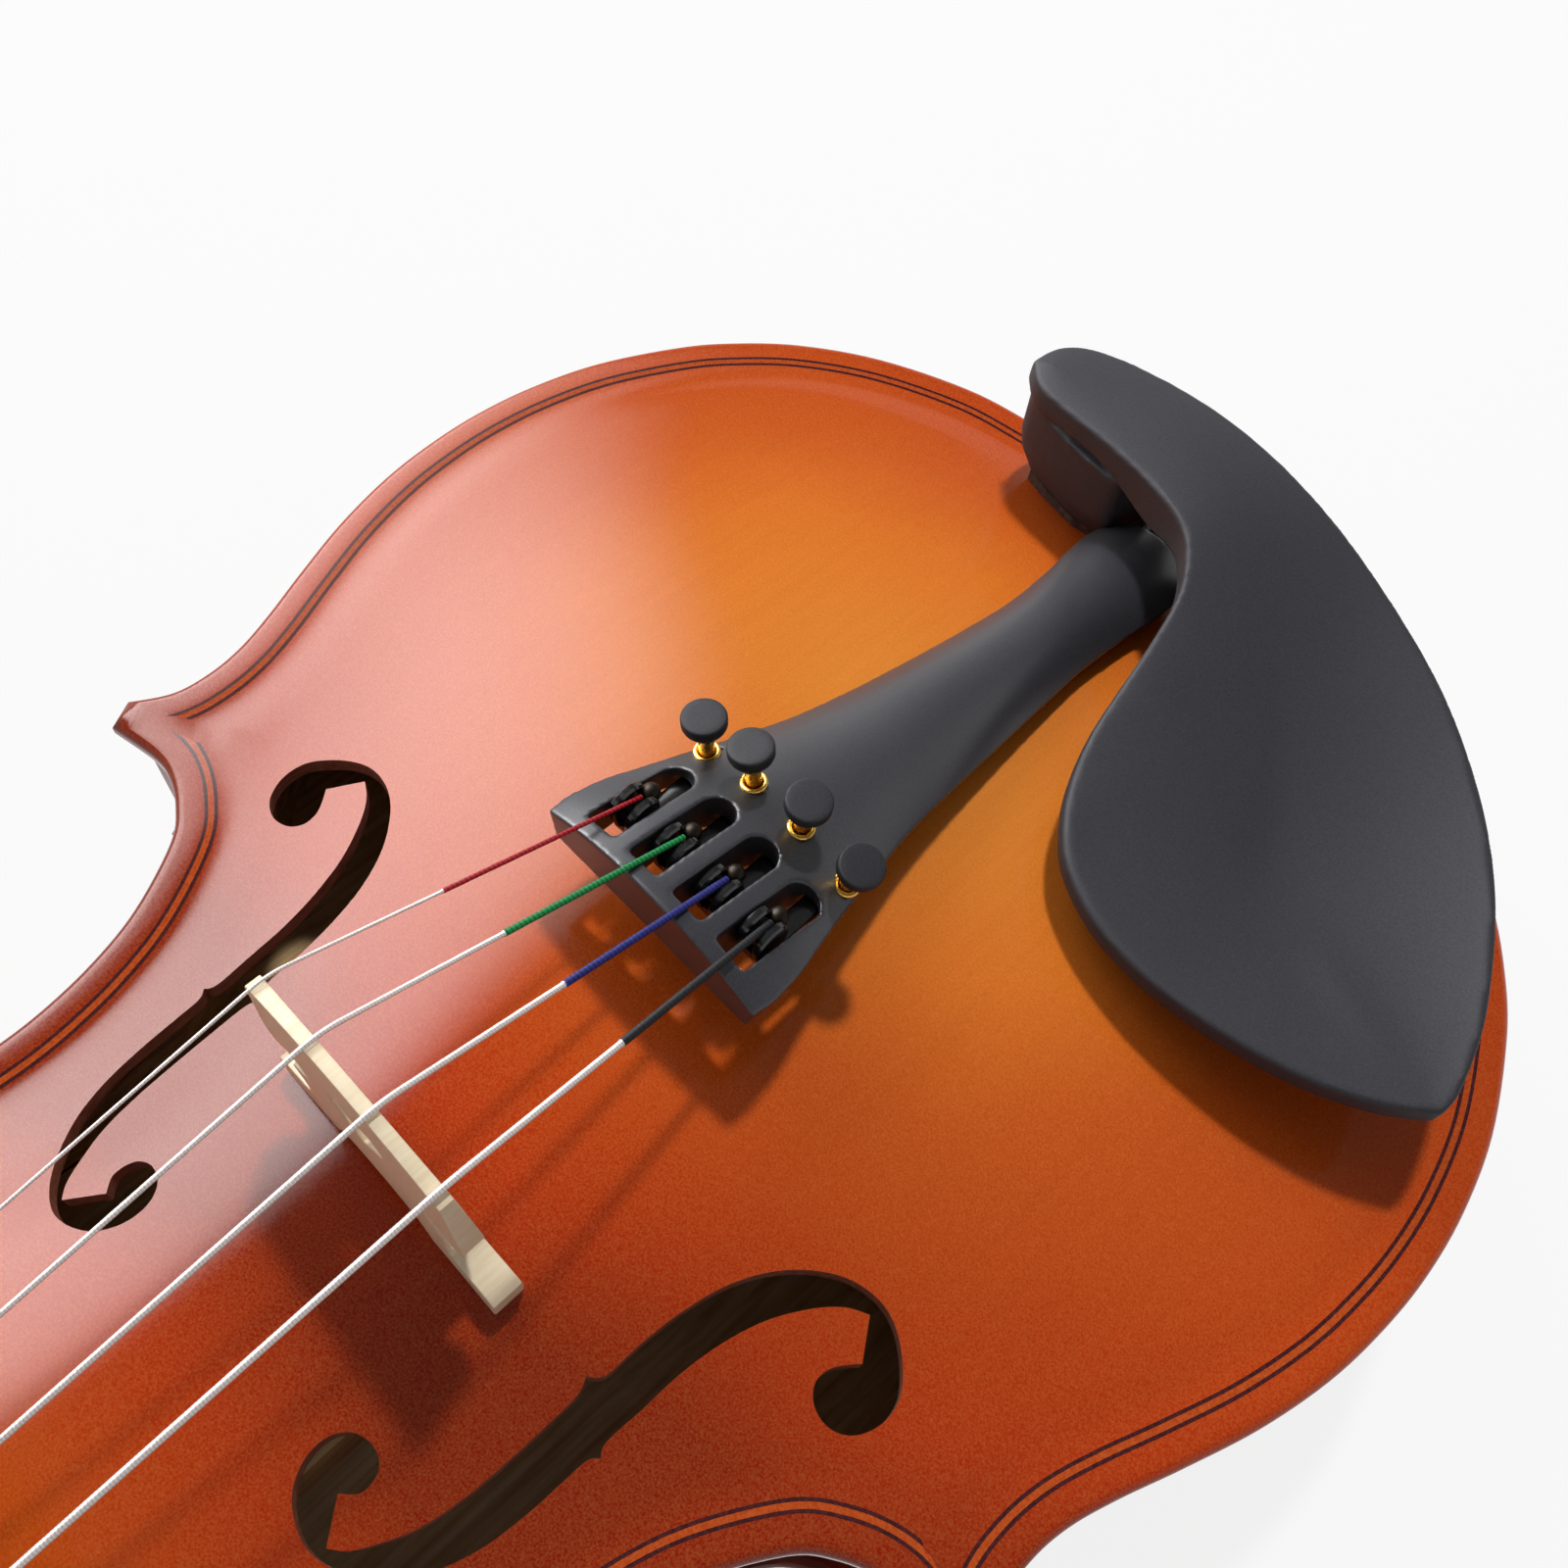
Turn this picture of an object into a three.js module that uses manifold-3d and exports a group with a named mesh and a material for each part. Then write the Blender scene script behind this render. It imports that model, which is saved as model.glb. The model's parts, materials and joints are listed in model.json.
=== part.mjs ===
// A full-size violin lying on its back: a carved sound box, a neck with pegbox and scroll, the strings with
// their fittings, a tailpiece with four built-in fine tuners, and a chin rest on its clamp.
// Millimetres. X is the treble side, Y points to the scroll, Z is up.
// The origin is the lowest point of the arched back, straight below the bridge, on a small flat facet.
import * as THREE from 'three';
import { mergeVertices } from 'three/addons/utils/BufferGeometryUtils.js';
import Module from 'manifold-3d';

const wasm = await Module();
wasm.setup();

// Sound box
const bodyLength = 362;
const stopLength = 190;
const lowerBoutWidth = 204.8;
const waistWidth = 108.4;
const upperBoutWidth = 166;
const lowerCornerSetback = 15;
const lowerCornerFace = 4.1;
const upperCornerFace = 5.3;
const lowerCornerInset = 2.32;
const upperCornerInset = 1.592;
const waistLength = 84.8;
const ribHeight = 31;
const ribThickness = 1.2;
const liningThickness = 2;
const liningHeight = 8;
const plateOverhang = 2.5;
const ribMitre = 2.6;
const plateEdge = 4;
const plateThickness = 3;
const backArch = 15;
const topArch = 15.5;
const archInset = 8;
const restFlat = 0.3;
const blockDepth = 16;
const blockHalfWidth = 25;
const cornerBlockLength = 22;
const cornerBlockSetback = 5;
const buttonRadius = 10.8;
const glueGap = 0.2;
const fitGap = 0.3;
const cutOverrun = 2;
const weldDistance = 1e-4;

// Sound holes
const soundHoleSpan = 67.8;
const soundHoleWidth = 44.3;
const soundHoleInset = 18.3;
const soundHoleTop = 33.4;

// Sound post and bass bar
const soundPostRadius = 3.1;
const soundPostX = 19.5;
const soundPostY = -6;
const bassBarX = -16;
const bassBarWidth = 5.2;
const bassBarHeight = 10.5;
const bassBarLowerGap = 18.3;
const bassBarUpperGap = 36.3;
const bassBarTaperShare = 0.72;

// Bridge
const bridgeHeight = 38.5;
const bridgeFootThickness = 5.6;
const bridgeTopThickness = 3.2;
const bridgeHalfWidth = 21;
const bridgeTopRadius = 42;
const bridgeTrebleFall = 0.04;

// Strings, bass to treble
const stringNames = ['g_string', 'd_string', 'a_string', 'e_string'];
const stringRadii = [0.55, 0.5, 0.45, 0.25];
const stringSpacingBridge = 10.4;
const stringSpacingNut = 5.4;
const stringSpacingTail = 8;
const stringSides = 8;
const stringLift = 0.5;
const stringBend = 2.5;

// Neck, fingerboard and nut
const neckLength = 130;
const neckTilt = THREE.MathUtils.degToRad(8);
const overstand = 6.8;
const heelHalfWidth = 15.8;
const heelSetback = 6.5;
const heelLength = 16;
const fingerboardReach = 56;
const fingerboardEdge = 5;
const fingerboardRadius = 42;
const fingerboardWidthNut = 24;
const fingerboardWidthEnd = 42.5;
const nutLength = 5.5;
const nutLift = 0.6;
const nutFall = 3.2;

// Pegbox, scroll and pegs
const headWidthNut = 24.6;
const headWidthThroat = 14.4;
const headTaperLength = 80;
const cheekHeight = 21;
const cheekThickness = 4.3;
const pegDistances = [15, 45, 60, 30];
const pegSides = [-1, -1, 1, 1];
const pegDrop = 7.5;
const pegRadiusThin = 3.4;
const pegRadiusThick = 4;
const pegCollarRadius = 5.4;
const pegCollarGap = 9;
const pegThumbLength = 24;
const pegThumbWidth = 20;
const pegThumbDepth = 8.6;
const pegPipRadius = 1.7;
const pegEndReach = 1;
const pegCollarLength = 1;
const pegCollarBevel = 0.6;
const pegStemFlare = 1.4;
const pegStemLength = 4;
const pegThumbSink = 2;
const windingTurns = 2;
const windingGap = 0.5;
const windingSteps = 24;
const windingSides = 6;
const scrollRadius = 19.6;
const scrollEyeDistance = 84;
const scrollEyeRise = -6;
const scrollTurns = 2.6;
const scrollShrink = 0.096;
const scrollHalfWidth = 7;
const scrollEyeHalfWidth = 20.5;
const scrollSteps = 20;

// Tailpiece and fine tuners
const tailpieceFront = 41;
const tailpieceLength = 114.5;
const tailpieceHalfWidth = 19.5;
const tailpieceFrontHeight = 84;
const tailpieceEndHeight = 61.5;
const slotWidth = 5.2;
const slotFront = 2.6;
const slotLength = 15.6;
const pivotBack = 8.6;
const pivotHeight = 74.8;
const pivotRadius = 0.95;
const leverWidth = 4.2;
const leverBoss = 2.1;
const leverArm = 16.6;
const leverArmDrop = 1.9;
const leverArmThickness = 1.7;
const leverArmHalf = 1.6;
const forkHeight = 5.9;
const forkThickness = 2.4;
const ballRadius = 1.35;
const screwBack = 23;
const screwSpread = 1.12;
const screwLeans = [-11, -3, 10, 8].map(THREE.MathUtils.degToRad);
const screwRadius = 1.2;
const screwHeadRadius = 1.6;
const screwHeadLength = 2.2;
const knobRadius = 3.2;
const knobThickness = 2.3;
const knobLift = 6;
const knobBevelLow = 0.5;
const knobBevelHigh = 0.6;
const knobDish = 0.3;
const screwTaper = 1;

// Tailgut, saddle and end button
const saddleHalfWidth = 17;
const saddleDepth = 7;
const saddleRise = 6.2;
const saddleStep = 1;
const saddleRearFall = 1.2;
const saddleRearDepth = 3.4;
const saddleEndLift = 0.8;
const tailgutRadius = 1;
const tailgutHalfSpan = 3.2;
const tailgutEntryDepth = 2.6;
const tailgutExitDepth = 2.2;
const tailgutOverrun = 1;
const tailgutFalls = [0.8, 2.6, 6];
const buttonShaftRadius = 4;
const buttonGrooveRadius = 5.2;
const buttonHeadRadius = 10.8;
const buttonGrooveLength = 4.2;
const buttonHeadLength = 8.5;
const buttonGrooveStep = 1;
const buttonHeadFlare = 2;

// Chin rest and clamp
const chinRestLength = 122;
const chinRestDepth = 83;
const chinRestCornerX = 33.5;
const chinRestCornerInset = 0.8;
const chinRimDrop = 1.5;
const chinRimRaise = 1.1;
const chinFootBevel = 1;
const chinRestHeight = 22;
const chinRestThickness = 7;
const corkThickness = 1.8;
const clampHalfSpan = 21;
const clampOffset = 6.6;
const clampRodRadius = 1.7;
const clampBarHeight = 2.4;
const clampBarWidth = 3.2;
const clampBarHalf = 2;
const barrelRadius = 3.2;
const barrelLength = 22;
const barrelBottom = 19.5;
const barrelBore = 2;
const barrelHole = 1.1;
const clampFootHalf = 26;
const clampArmHalf = 4;
const clampArmReach = 14.5;
const clampFootInset = 1;
const clampCorkInset = 0.5;
const clampRodSink = 1;

// Heights and places worked out from the sizes above
const bottomY = stopLength - bodyLength;
const topY = stopLength;
const backJoint = backArch;
const topJoint = backArch + ribHeight;
const edgeTop = topJoint + plateEdge;
const bellyTop = topJoint + topArch;
const bridgeTop = bellyTop + bridgeHeight;
const nutY = topY + neckLength;
const headStart = nutY + nutLength;
const ribInner = plateOverhang + ribThickness;
const buttonHeight = (backJoint + topJoint) / 2;

// Colours
const wood = (color, roughness) => new THREE.MeshStandardMaterial({ color, roughness, metalness: 0 });
const metal = (color, roughness) => new THREE.MeshStandardMaterial({ color, roughness, metalness: 1 });
const belly = wood(0xc8551a, 0.2);
const maple = wood(0x8a2c10, 0.2);
const innerSpruce = wood(0xd9b98a, 0.7);
const bareMaple = wood(0xe6d2a6, 0.6);
const blackened = wood(0x2e2e31, 0.5);
const ebony = wood(0x1c1a1a, 0.35);
const brass = metal(0xd8a840, 0.25);
const nickel = metal(0xc9c9cc, 0.25);
const steel = metal(0xd8dadd, 0.3);
const blackMetal = metal(0x1e1e20, 0.35);
const cork = wood(0xb98a5a, 0.9);
const gutBlack = wood(0x161616, 0.5);

const point = (x, y) => new THREE.Vector2(x, y);
const place = (x, y, z) => new THREE.Vector3(x, y, z);
const violin = new THREE.Group();

// Adds one named piece.
function addPiece(name, geometry, material) {
  const mesh = new THREE.Mesh(geometry, material);
  mesh.name = name;
  violin.add(mesh);
  return mesh;
}

// A closed geometry as a solid that can be cut and joined.
function solidOf(geometry) {
  const bare = geometry.index ? geometry.toNonIndexed() : geometry.clone();
  bare.deleteAttribute('normal');
  bare.deleteAttribute('uv');
  const merged = mergeVertices(bare, weldDistance);
  const vertProperties = merged.attributes.position.array;
  const triVerts = new Uint32Array(merged.index.array);
  return new wasm.Manifold(new wasm.Mesh({ numProp: 3, vertProperties, triVerts }));
}

// A solid back as a geometry.
function geometryOf(solid) {
  const mesh = solid.getMesh();
  const geometry = new THREE.BufferGeometry();
  geometry.setAttribute('position', new THREE.BufferAttribute(mesh.vertProperties, 3));
  geometry.setIndex(new THREE.BufferAttribute(mesh.triVerts, 1));
  geometry.computeVertexNormals();
  return geometry;
}

// Turns a closed mesh right side out and welds its shared vertices.
function closeMesh(positions, indices) {
  let volume = 0;
  const corner = (i) => place(positions[3 * i], positions[3 * i + 1], positions[3 * i + 2]);
  for (let i = 0; i < indices.length; i += 3) {
    volume += corner(indices[i]).dot(corner(indices[i + 1]).cross(corner(indices[i + 2])));
  }
  if (volume < 0) indices.reverse();
  const geometry = new THREE.BufferGeometry();
  geometry.setAttribute('position', new THREE.Float32BufferAttribute(positions, 3));
  geometry.setIndex(indices);
  const merged = mergeVertices(geometry, weldDistance);
  merged.computeVertexNormals();
  return merged;
}

// The triangles that close a flat loop, wound the way the loop runs.
function capLoop(loop) {
  const normal = place(0, 0, 0);
  loop.forEach((a, i) => normal.add(a.clone().cross(loop[(i + 1) % loop.length])));
  const size = normal.toArray().map(Math.abs);
  const drop = size.indexOf(Math.max(...size));
  const kept = [0, 1, 2].filter((axis) => axis !== drop);
  const flat = loop.map((a) => point(a.getComponent(kept[0]), a.getComponent(kept[1])));
  const wound = Math.sign(THREE.ShapeUtils.area(flat));
  return THREE.ShapeUtils.triangulateShape(flat, []).map((face) => {
    const turn = Math.sign(THREE.ShapeUtils.area(face.map((i) => flat[i])));
    return turn === wound ? face : [face[0], face[2], face[1]];
  });
}

// A body skinned over loops that all have the same number of points, closed at both ends.
function skin(loops) {
  const count = loops[0].length;
  const positions = loops.flat().flatMap((a) => a.toArray());
  const indices = [];
  for (let j = 0; j + 1 < loops.length; j += 1) {
    for (let i = 0; i < count; i += 1) {
      const a = j * count + i;
      const b = j * count + ((i + 1) % count);
      indices.push(a, b, b + count, a, b + count, a + count);
    }
  }
  for (const [a, b, c] of capLoop(loops[0])) indices.push(a, c, b);
  const last = (loops.length - 1) * count;
  for (const [a, b, c] of capLoop(loops.at(-1))) indices.push(last + a, last + b, last + c);
  return closeMesh(positions, indices);
}

// A carved plate: rings of points run from its outline in to a spine, over a top and an underside.
function carve(outline, spine, levels, topAt, undersideAt) {
  const count = outline.length;
  const positions = [];
  const indices = [];
  for (const surface of [topAt, undersideAt]) {
    for (const level of levels) {
      for (let i = 0; i < count; i += 1) {
        const at = outline[i].clone().lerp(spine[i], level);
        positions.push(at.x, at.y, surface(at.x, at.y, level, i));
      }
    }
  }
  const under = levels.length * count;
  for (let i = 0; i < count; i += 1) {
    const next = (i + 1) % count;
    for (let j = 0; j + 1 < levels.length; j += 1) {
      const [a, b, c, d] = [j * count + i, j * count + next, (j + 1) * count + next, (j + 1) * count + i];
      indices.push(a, b, c, a, c, d);
      indices.push(under + a, under + c, under + b, under + a, under + d, under + c);
    }
    indices.push(i, under + i, under + next, i, under + next, next);
  }
  const kept = [];
  const same = (a, b) =>
    [0, 1, 2].every((k) => Math.abs(positions[3 * a + k] - positions[3 * b + k]) < weldDistance);
  for (let i = 0; i < indices.length; i += 3) {
    const [a, b, c] = indices.slice(i, i + 3);
    if (!same(a, b) && !same(b, c) && !same(a, c)) kept.push(a, b, c);
  }
  return closeMesh(positions, kept);
}

// An outline drawn in X and Y, raised from one height to another.
function raise(outline, low, high) {
  const depth = high - low;
  const geometry = new THREE.ExtrudeGeometry(new THREE.Shape(outline), { depth, bevelEnabled: false });
  return geometry.translate(0, 0, low);
}

function box(low, high) {
  const size = high.clone().sub(low);
  const middle = high.clone().add(low).multiplyScalar(0.5);
  return new THREE.BoxGeometry(size.x, size.y, size.z).translate(middle.x, middle.y, middle.z);
}

// A round bar from one point to another.
function bar(from, to, radius, sides = 16) {
  const along = to.clone().sub(from);
  const geometry = new THREE.CylinderGeometry(radius, radius, along.length(), sides);
  const turn = new THREE.Quaternion().setFromUnitVectors(place(0, 1, 0), along.clone().normalize());
  const middle = from.clone().lerp(to, 0.5);
  return geometry.applyQuaternion(turn).translate(middle.x, middle.y, middle.z);
}

// A value read smoothly from a table of [share, value] rows.
function readTable(table, at) {
  const last = table.length - 1;
  if (at <= table[0][0]) return table[0][1];
  if (at >= table[last][0]) return table[last][1];
  const i = table.findIndex((row) => row[0] > at) - 1;
  const slope = (k) => {
    const a = table[Math.max(k - 1, 0)];
    const b = table[Math.min(k + 1, last)];
    return (b[1] - a[1]) / (b[0] - a[0]);
  };
  const width = table[i + 1][0] - table[i][0];
  const t = (at - table[i][0]) / width;
  const rise = table[i + 1][1] - table[i][1];
  const [m0, m1] = [slope(i) * width, slope(i + 1) * width];
  return table[i][1] + m0 * t + (3 * rise - 2 * m0 - m1) * t * t + (m0 + m1 - 2 * rise) * t * t * t;
}

// Points moved sideways off a path, to the left of the way it runs.
function offsetPath(path, distance) {
  return path.map((at, i) => {
    const before = path[Math.max(i - 1, 0)];
    const after = path[Math.min(i + 1, path.length - 1)];
    const along = after.clone().sub(before).normalize();
    return point(at.x - along.y * distance, at.y + along.x * distance);
  });
}

// The part of a path between two lengths measured along it.
function cutPath(path, from, to) {
  const kept = [];
  let run = 0;
  for (let i = 0; i + 1 < path.length; i += 1) {
    const step = path[i].distanceTo(path[i + 1]);
    for (const length of [from, to]) {
      const inside = length >= run && length < run + step;
      if (inside) kept.push([length, path[i].clone().lerp(path[i + 1], (length - run) / step)]);
    }
    if (run > from && run < to) kept.push([run, path[i].clone()]);
    run += step;
  }
  if (to >= run) kept.push([run, path.at(-1).clone()]);
  kept.sort((a, b) => a[0] - b[0]);
  return kept.map((row) => row[1]);
}

const pathLength = (path) => path.slice(1).reduce((sum, at, i) => sum + at.distanceTo(path[i]), 0);
const mirrorPath = (path) => path.map((at) => point(-at.x, at.y)).reverse();

// Outline of the sound box, half of it on the treble side, as shares of each bout's half width and length.
const lowerBoutShares = [
  [0, 0], [0.195, 0.0045], [0.361, 0.0185], [0.488, 0.038], [0.641, 0.085], [0.762, 0.1446], [0.848, 0.209],
  [0.902, 0.266], [0.959, 0.3516], [0.989, 0.433], [1, 0.506], [0.997, 0.573], [0.983, 0.64], [0.953, 0.713],
  [0.912, 0.783], [0.875, 0.841], [0.852, 0.885], [0.843, 0.924], [0.848, 0.962], [0.878, 1],
];
const waistShares = [
  [1.616, 0], [1.461, -0.02], [1.371, -0.0153], [1.28, 0.0118], [1.199, 0.0566], [1.094, 0.1675],
  [1.037, 0.27], [1.006, 0.376], [1, 0.4705], [1.015, 0.5825], [1.052, 0.69], [1.106, 0.775],
  [1.181, 0.848], [1.273, 0.9127], [1.3745, 0.9599], [1.439, 1],
];
const upperBoutShares = [
  [0.9205, 0], [0.8964, 0.0433], [0.8867, 0.0975], [0.8976, 0.1697], [0.9277, 0.2509], [0.9639, 0.3412],
  [0.988, 0.4314], [1, 0.5126], [0.983, 0.6029], [0.942, 0.6931], [0.8735, 0.7744], [0.765, 0.8556],
  [0.6386, 0.9143], [0.494, 0.9594], [0.337, 0.9865], [0.169, 0.9973], [0, 1],
];
const waistNarrowShare = 0.4705;
const boutPoints = 16;
const waistPoints = 12;

function boutPath(shares, halfWidth, fromY, toY, count) {
  const knots = shares.map(([x, y]) => point(x * halfWidth, fromY + y * (toY - fromY)));
  return new THREE.SplineCurve(knots).getPoints(count - 1);
}

const lowerCornerY = -lowerCornerSetback;
const waistStartY = lowerCornerY + lowerCornerFace;
const waistEndY = waistStartY + waistLength;
const upperCornerY = waistEndY + upperCornerFace;
const lowerPath = boutPath(lowerBoutShares, lowerBoutWidth / 2, bottomY, lowerCornerY, boutPoints);
const upperPath = boutPath(upperBoutShares, upperBoutWidth / 2, upperCornerY, topY, boutPoints);

// The waist keeps its own width where it is narrowest, and its ends follow the corners of both bouts.
const waistStartShift = lowerPath.at(-1).x - lowerCornerInset - waistShares[0][0] * (waistWidth / 2);
const waistEndShift = upperPath[0].x + upperCornerInset - waistShares.at(-1)[0] * (waistWidth / 2);
const waistKnots = waistShares.map(([x, y]) => {
  const towardStart = Math.min(Math.max(1 - y / waistNarrowShare, 0), 1);
  const towardEnd = Math.max((y - waistNarrowShare) / (1 - waistNarrowShare), 0);
  const shift = waistStartShift * towardStart + waistEndShift * towardEnd;
  return point(x * (waistWidth / 2) + shift, waistStartY + y * waistLength);
});
const waistPath = new THREE.SplineCurve(waistKnots).getPoints(waistPoints - 1);
const halfOutline = [...lowerPath, ...waistPath, ...upperPath];
const outline = [...halfOutline, ...mirrorPath(halfOutline).slice(1, -1)];

// Where each ring of a plate runs in to: a point on the middle line that climbs with the outline.
// A path's spine starts and ends at the given shares of the body's length.
const lowerSpineShares = [0.16, 0.287];
const waistSpineShares = [0.3, 0.78];
const upperSpineShares = [0.79, 0.86];
function spineOf(path, [startShare, endShare]) {
  const total = pathLength(path);
  return path.map((at, i) => {
    const run = pathLength(path.slice(0, i + 1));
    return point(0, bottomY + (startShare + (endShare - startShare) * (run / total)) * bodyLength);
  });
}
const halfSpine = [
  ...spineOf(lowerPath, lowerSpineShares),
  ...spineOf(waistPath, waistSpineShares),
  ...spineOf(upperPath, upperSpineShares),
];
const spine = [...halfSpine, ...[...halfSpine].reverse().slice(1, -1)];
const plateLevels = [0, 0.08, 0.22, 0.5, 1];

// How far the arch reaches out from the middle line: shares of body length and of the lower bout's half width.
const archReachShares = [
  [0, 0.22], [0.033, 0.57], [0.088, 0.78], [0.157, 0.9], [0.227, 0.94], [0.31, 0.89], [0.365, 0.78],
  [0.406, 0.68],
  [0.447, 0.576], [0.475, 0.52], [0.53, 0.474], [0.6, 0.498], [0.64, 0.557], [0.682, 0.625], [0.751, 0.7],
  [0.834, 0.75], [0.917, 0.62], [1, 0.22],
];
const archFullness = 1.25;
const archEndFullness = 2.6;

// The share of a plate's full arch at a place on it.
function archShare(x, y) {
  const reach = readTable(archReachShares, (y - bottomY) / bodyLength) * (lowerBoutWidth / 2);
  const across = Math.min(Math.abs(x) / reach, 1);
  const middle = (topY + bottomY) / 2;
  const along = Math.min(Math.abs(y - middle) / (bodyLength / 2 - archInset), 1);
  return ((1 + Math.cos(Math.PI * across ** archFullness)) / 2) * (1 - along ** archEndFullness);
}

const bellyOutside = (x, y) => edgeTop + (topArch - plateEdge) * archShare(x, y);
const bellyInside = (x, y, level) =>
  level > plateLevels[1] ? Math.max(topJoint, bellyOutside(x, y) - plateThickness) : topJoint;
const backOutside = (x, y) => backJoint - plateEdge - (backArch - plateEdge + restFlat) * archShare(x, y);
const backInside = (x, y, level) =>
  level > plateLevels[1] ? Math.min(backJoint, backOutside(x, y) + plateThickness) : backJoint;

// Sound hole on the treble side: shares across from its inner edge and up from its foot.
const soundHoleShares = [
  [0.19, 1], [0.275, 0.979], [0.354, 0.935], [0.422, 0.873], [0.465, 0.795], [0.485, 0.706], [0.492, 0.625],
  [0.497, 0.575], [0.519, 0.555], [0.499, 0.531], [0.506, 0.448], [0.512, 0.36], [0.535, 0.271], [0.578, 0.183],
  [0.646, 0.105], [0.711, 0.056], [0.774, 0.031], [0.851, 0.1], [0.799, 0.145], [0.792, 0.186], [0.833, 0.215],
  [0.901, 0.221], [0.964, 0.198], [1, 0.147], [0.991, 0.091], [0.932, 0.044], [0.847, 0.009], [0.761, 0],
  [0.661, 0.018], [0.569, 0.062], [0.49, 0.124], [0.431, 0.204], [0.397, 0.294], [0.381, 0.382], [0.375, 0.46],
  [0.339, 0.487], [0.359, 0.519], [0.359, 0.596], [0.354, 0.684], [0.343, 0.773], [0.318, 0.854], [0.275, 0.917],
  [0.239, 0.956], [0.199, 0.978], [0.12, 0.913], [0.158, 0.885], [0.149, 0.845], [0.102, 0.826], [0.038, 0.835],
  [0, 0.87], [0.002, 0.919], [0.043, 0.965], [0.113, 0.993],
];
const soundHole = soundHoleShares.map(([x, y]) =>
  point(soundHoleInset + x * soundHoleWidth, soundHoleTop - (1 - y) * soundHoleSpan));

// The wedge where the neck's root sits, cut from the box with a clearance.
function neckSocket(clearance) {
  const half = heelHalfWidth + clearance;
  return solidOf(box(
    place(-half, topY - heelSetback - clearance, backJoint),
    place(half, topY + heelLength, edgeTop + cutOverrun),
  ));
}

const buttonHole = solidOf(bar(
  place(0, bottomY - cutOverrun, buttonHeight),
  place(0, bottomY + ribInner + blockDepth + cutOverrun, buttonHeight),
  buttonShaftRadius + fitGap,
));

// Belly: arched spruce with two sound holes, a notch for the saddle and the neck's socket.
function makeBelly() {
  let solid = solidOf(carve(outline, spine, plateLevels, bellyOutside, bellyInside));
  for (const path of [soundHole, mirrorPath(soundHole)]) {
    solid = solid.subtract(solidOf(raise(path, topJoint - cutOverrun, bellyTop + cutOverrun)));
  }
  const notch = saddleHalfWidth + glueGap;
  const notchEnd = bottomY + saddleDepth + glueGap;
  const low = place(-notch, bottomY - cutOverrun, topJoint - cutOverrun);
  solid = solid.subtract(solidOf(box(low, place(notch, notchEnd, bellyTop))));
  return geometryOf(solid.subtract(neckSocket(fitGap)));
}

function makeBack() {
  const plate = solidOf(carve(outline, spine, plateLevels, backInside, backOutside));
  const button = new THREE.CylinderGeometry(buttonRadius, buttonRadius, plateEdge, 20).rotateX(Math.PI / 2);
  button.translate(0, topY, backJoint - plateEdge / 2);
  const half = lowerBoutWidth / 2;
  const floor = box(place(-half, bottomY, -cutOverrun), place(half, topY, 0));
  return geometryOf(plate.add(solidOf(button)).subtract(solidOf(floor)));
}

const bellyGeometry = makeBelly();
const backGeometry = makeBack();
addPiece('top_plate', bellyGeometry, belly);
addPiece('back_plate', backGeometry, maple);

// The height of a made surface at a place, seen from above or from below.
const eye = new THREE.Raycaster();
function surfaceHeight(geometry, x, y, fromAbove) {
  const start = fromAbove ? bellyTop * 2 : -bellyTop;
  const target = new THREE.Mesh(geometry, new THREE.MeshBasicMaterial({ side: THREE.DoubleSide }));
  eye.set(place(x, y, start), place(0, 0, fromAbove ? -1 : 1));
  const hits = eye.intersectObject(target);
  return hits.length ? hits[0].point.z : null;
}
const bellyOver = (x, y) => surfaceHeight(bellyGeometry, x, y, true);
const bellyUnder = (x, y) => surfaceHeight(bellyGeometry, x, y, false);
const backOver = (x, y) => surfaceHeight(backGeometry, x, y, true);

// A path with extra points at given lengths along it.
function addStops(path, lengths) {
  const kept = [path[0]];
  let run = 0;
  for (let i = 0; i + 1 < path.length; i += 1) {
    const step = path[i].distanceTo(path[i + 1]);
    const [near, far] = [run + weldDistance, run + step - weldDistance];
    const inside = lengths.filter((length) => length > near && length < far);
    for (const length of inside) kept.push(path[i].clone().lerp(path[i + 1], (length - run) / step));
    kept.push(path[i + 1]);
    run += step;
  }
  return kept;
}

// A rib along a path of the outline, thickened by its linings except beside the blocks.
function makeRib(bare, bareStart, bareEnd) {
  const low = backJoint + glueGap;
  const high = topJoint - glueGap;
  const lineStart = bareStart + liningThickness / 2;
  const lineEnd = pathLength(bare) - bareEnd - liningThickness / 2;
  const path = addStops(bare, [bareStart, lineStart, lineEnd, lineEnd + liningThickness / 2]);
  const outer = offsetPath(path, plateOverhang);
  const inner = offsetPath(path, ribInner);
  const lined = offsetPath(path, ribInner + liningThickness);
  let run = 0;
  return skin(path.map((at, i) => {
    if (i > 0) run += at.distanceTo(path[i - 1]);
    const face = run < lineStart - weldDistance || run > lineEnd + weldDistance ? inner[i] : lined[i];
    return [
      place(outer[i].x, outer[i].y, low), place(outer[i].x, outer[i].y, high),
      place(face.x, face.y, high), place(face.x, face.y, high - liningHeight / 2),
      place(inner[i].x, inner[i].y, high - liningHeight), place(inner[i].x, inner[i].y, low + liningHeight),
      place(face.x, face.y, low + liningHeight / 2), place(face.x, face.y, low),
    ];
  }));
}

const mirrored = (geometry) => {
  const copy = geometry.clone().scale(-1, 1, 1);
  const positions = Array.from(copy.attributes.position.array);
  return closeMesh(positions, Array.from(copy.index.array));
};

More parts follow.
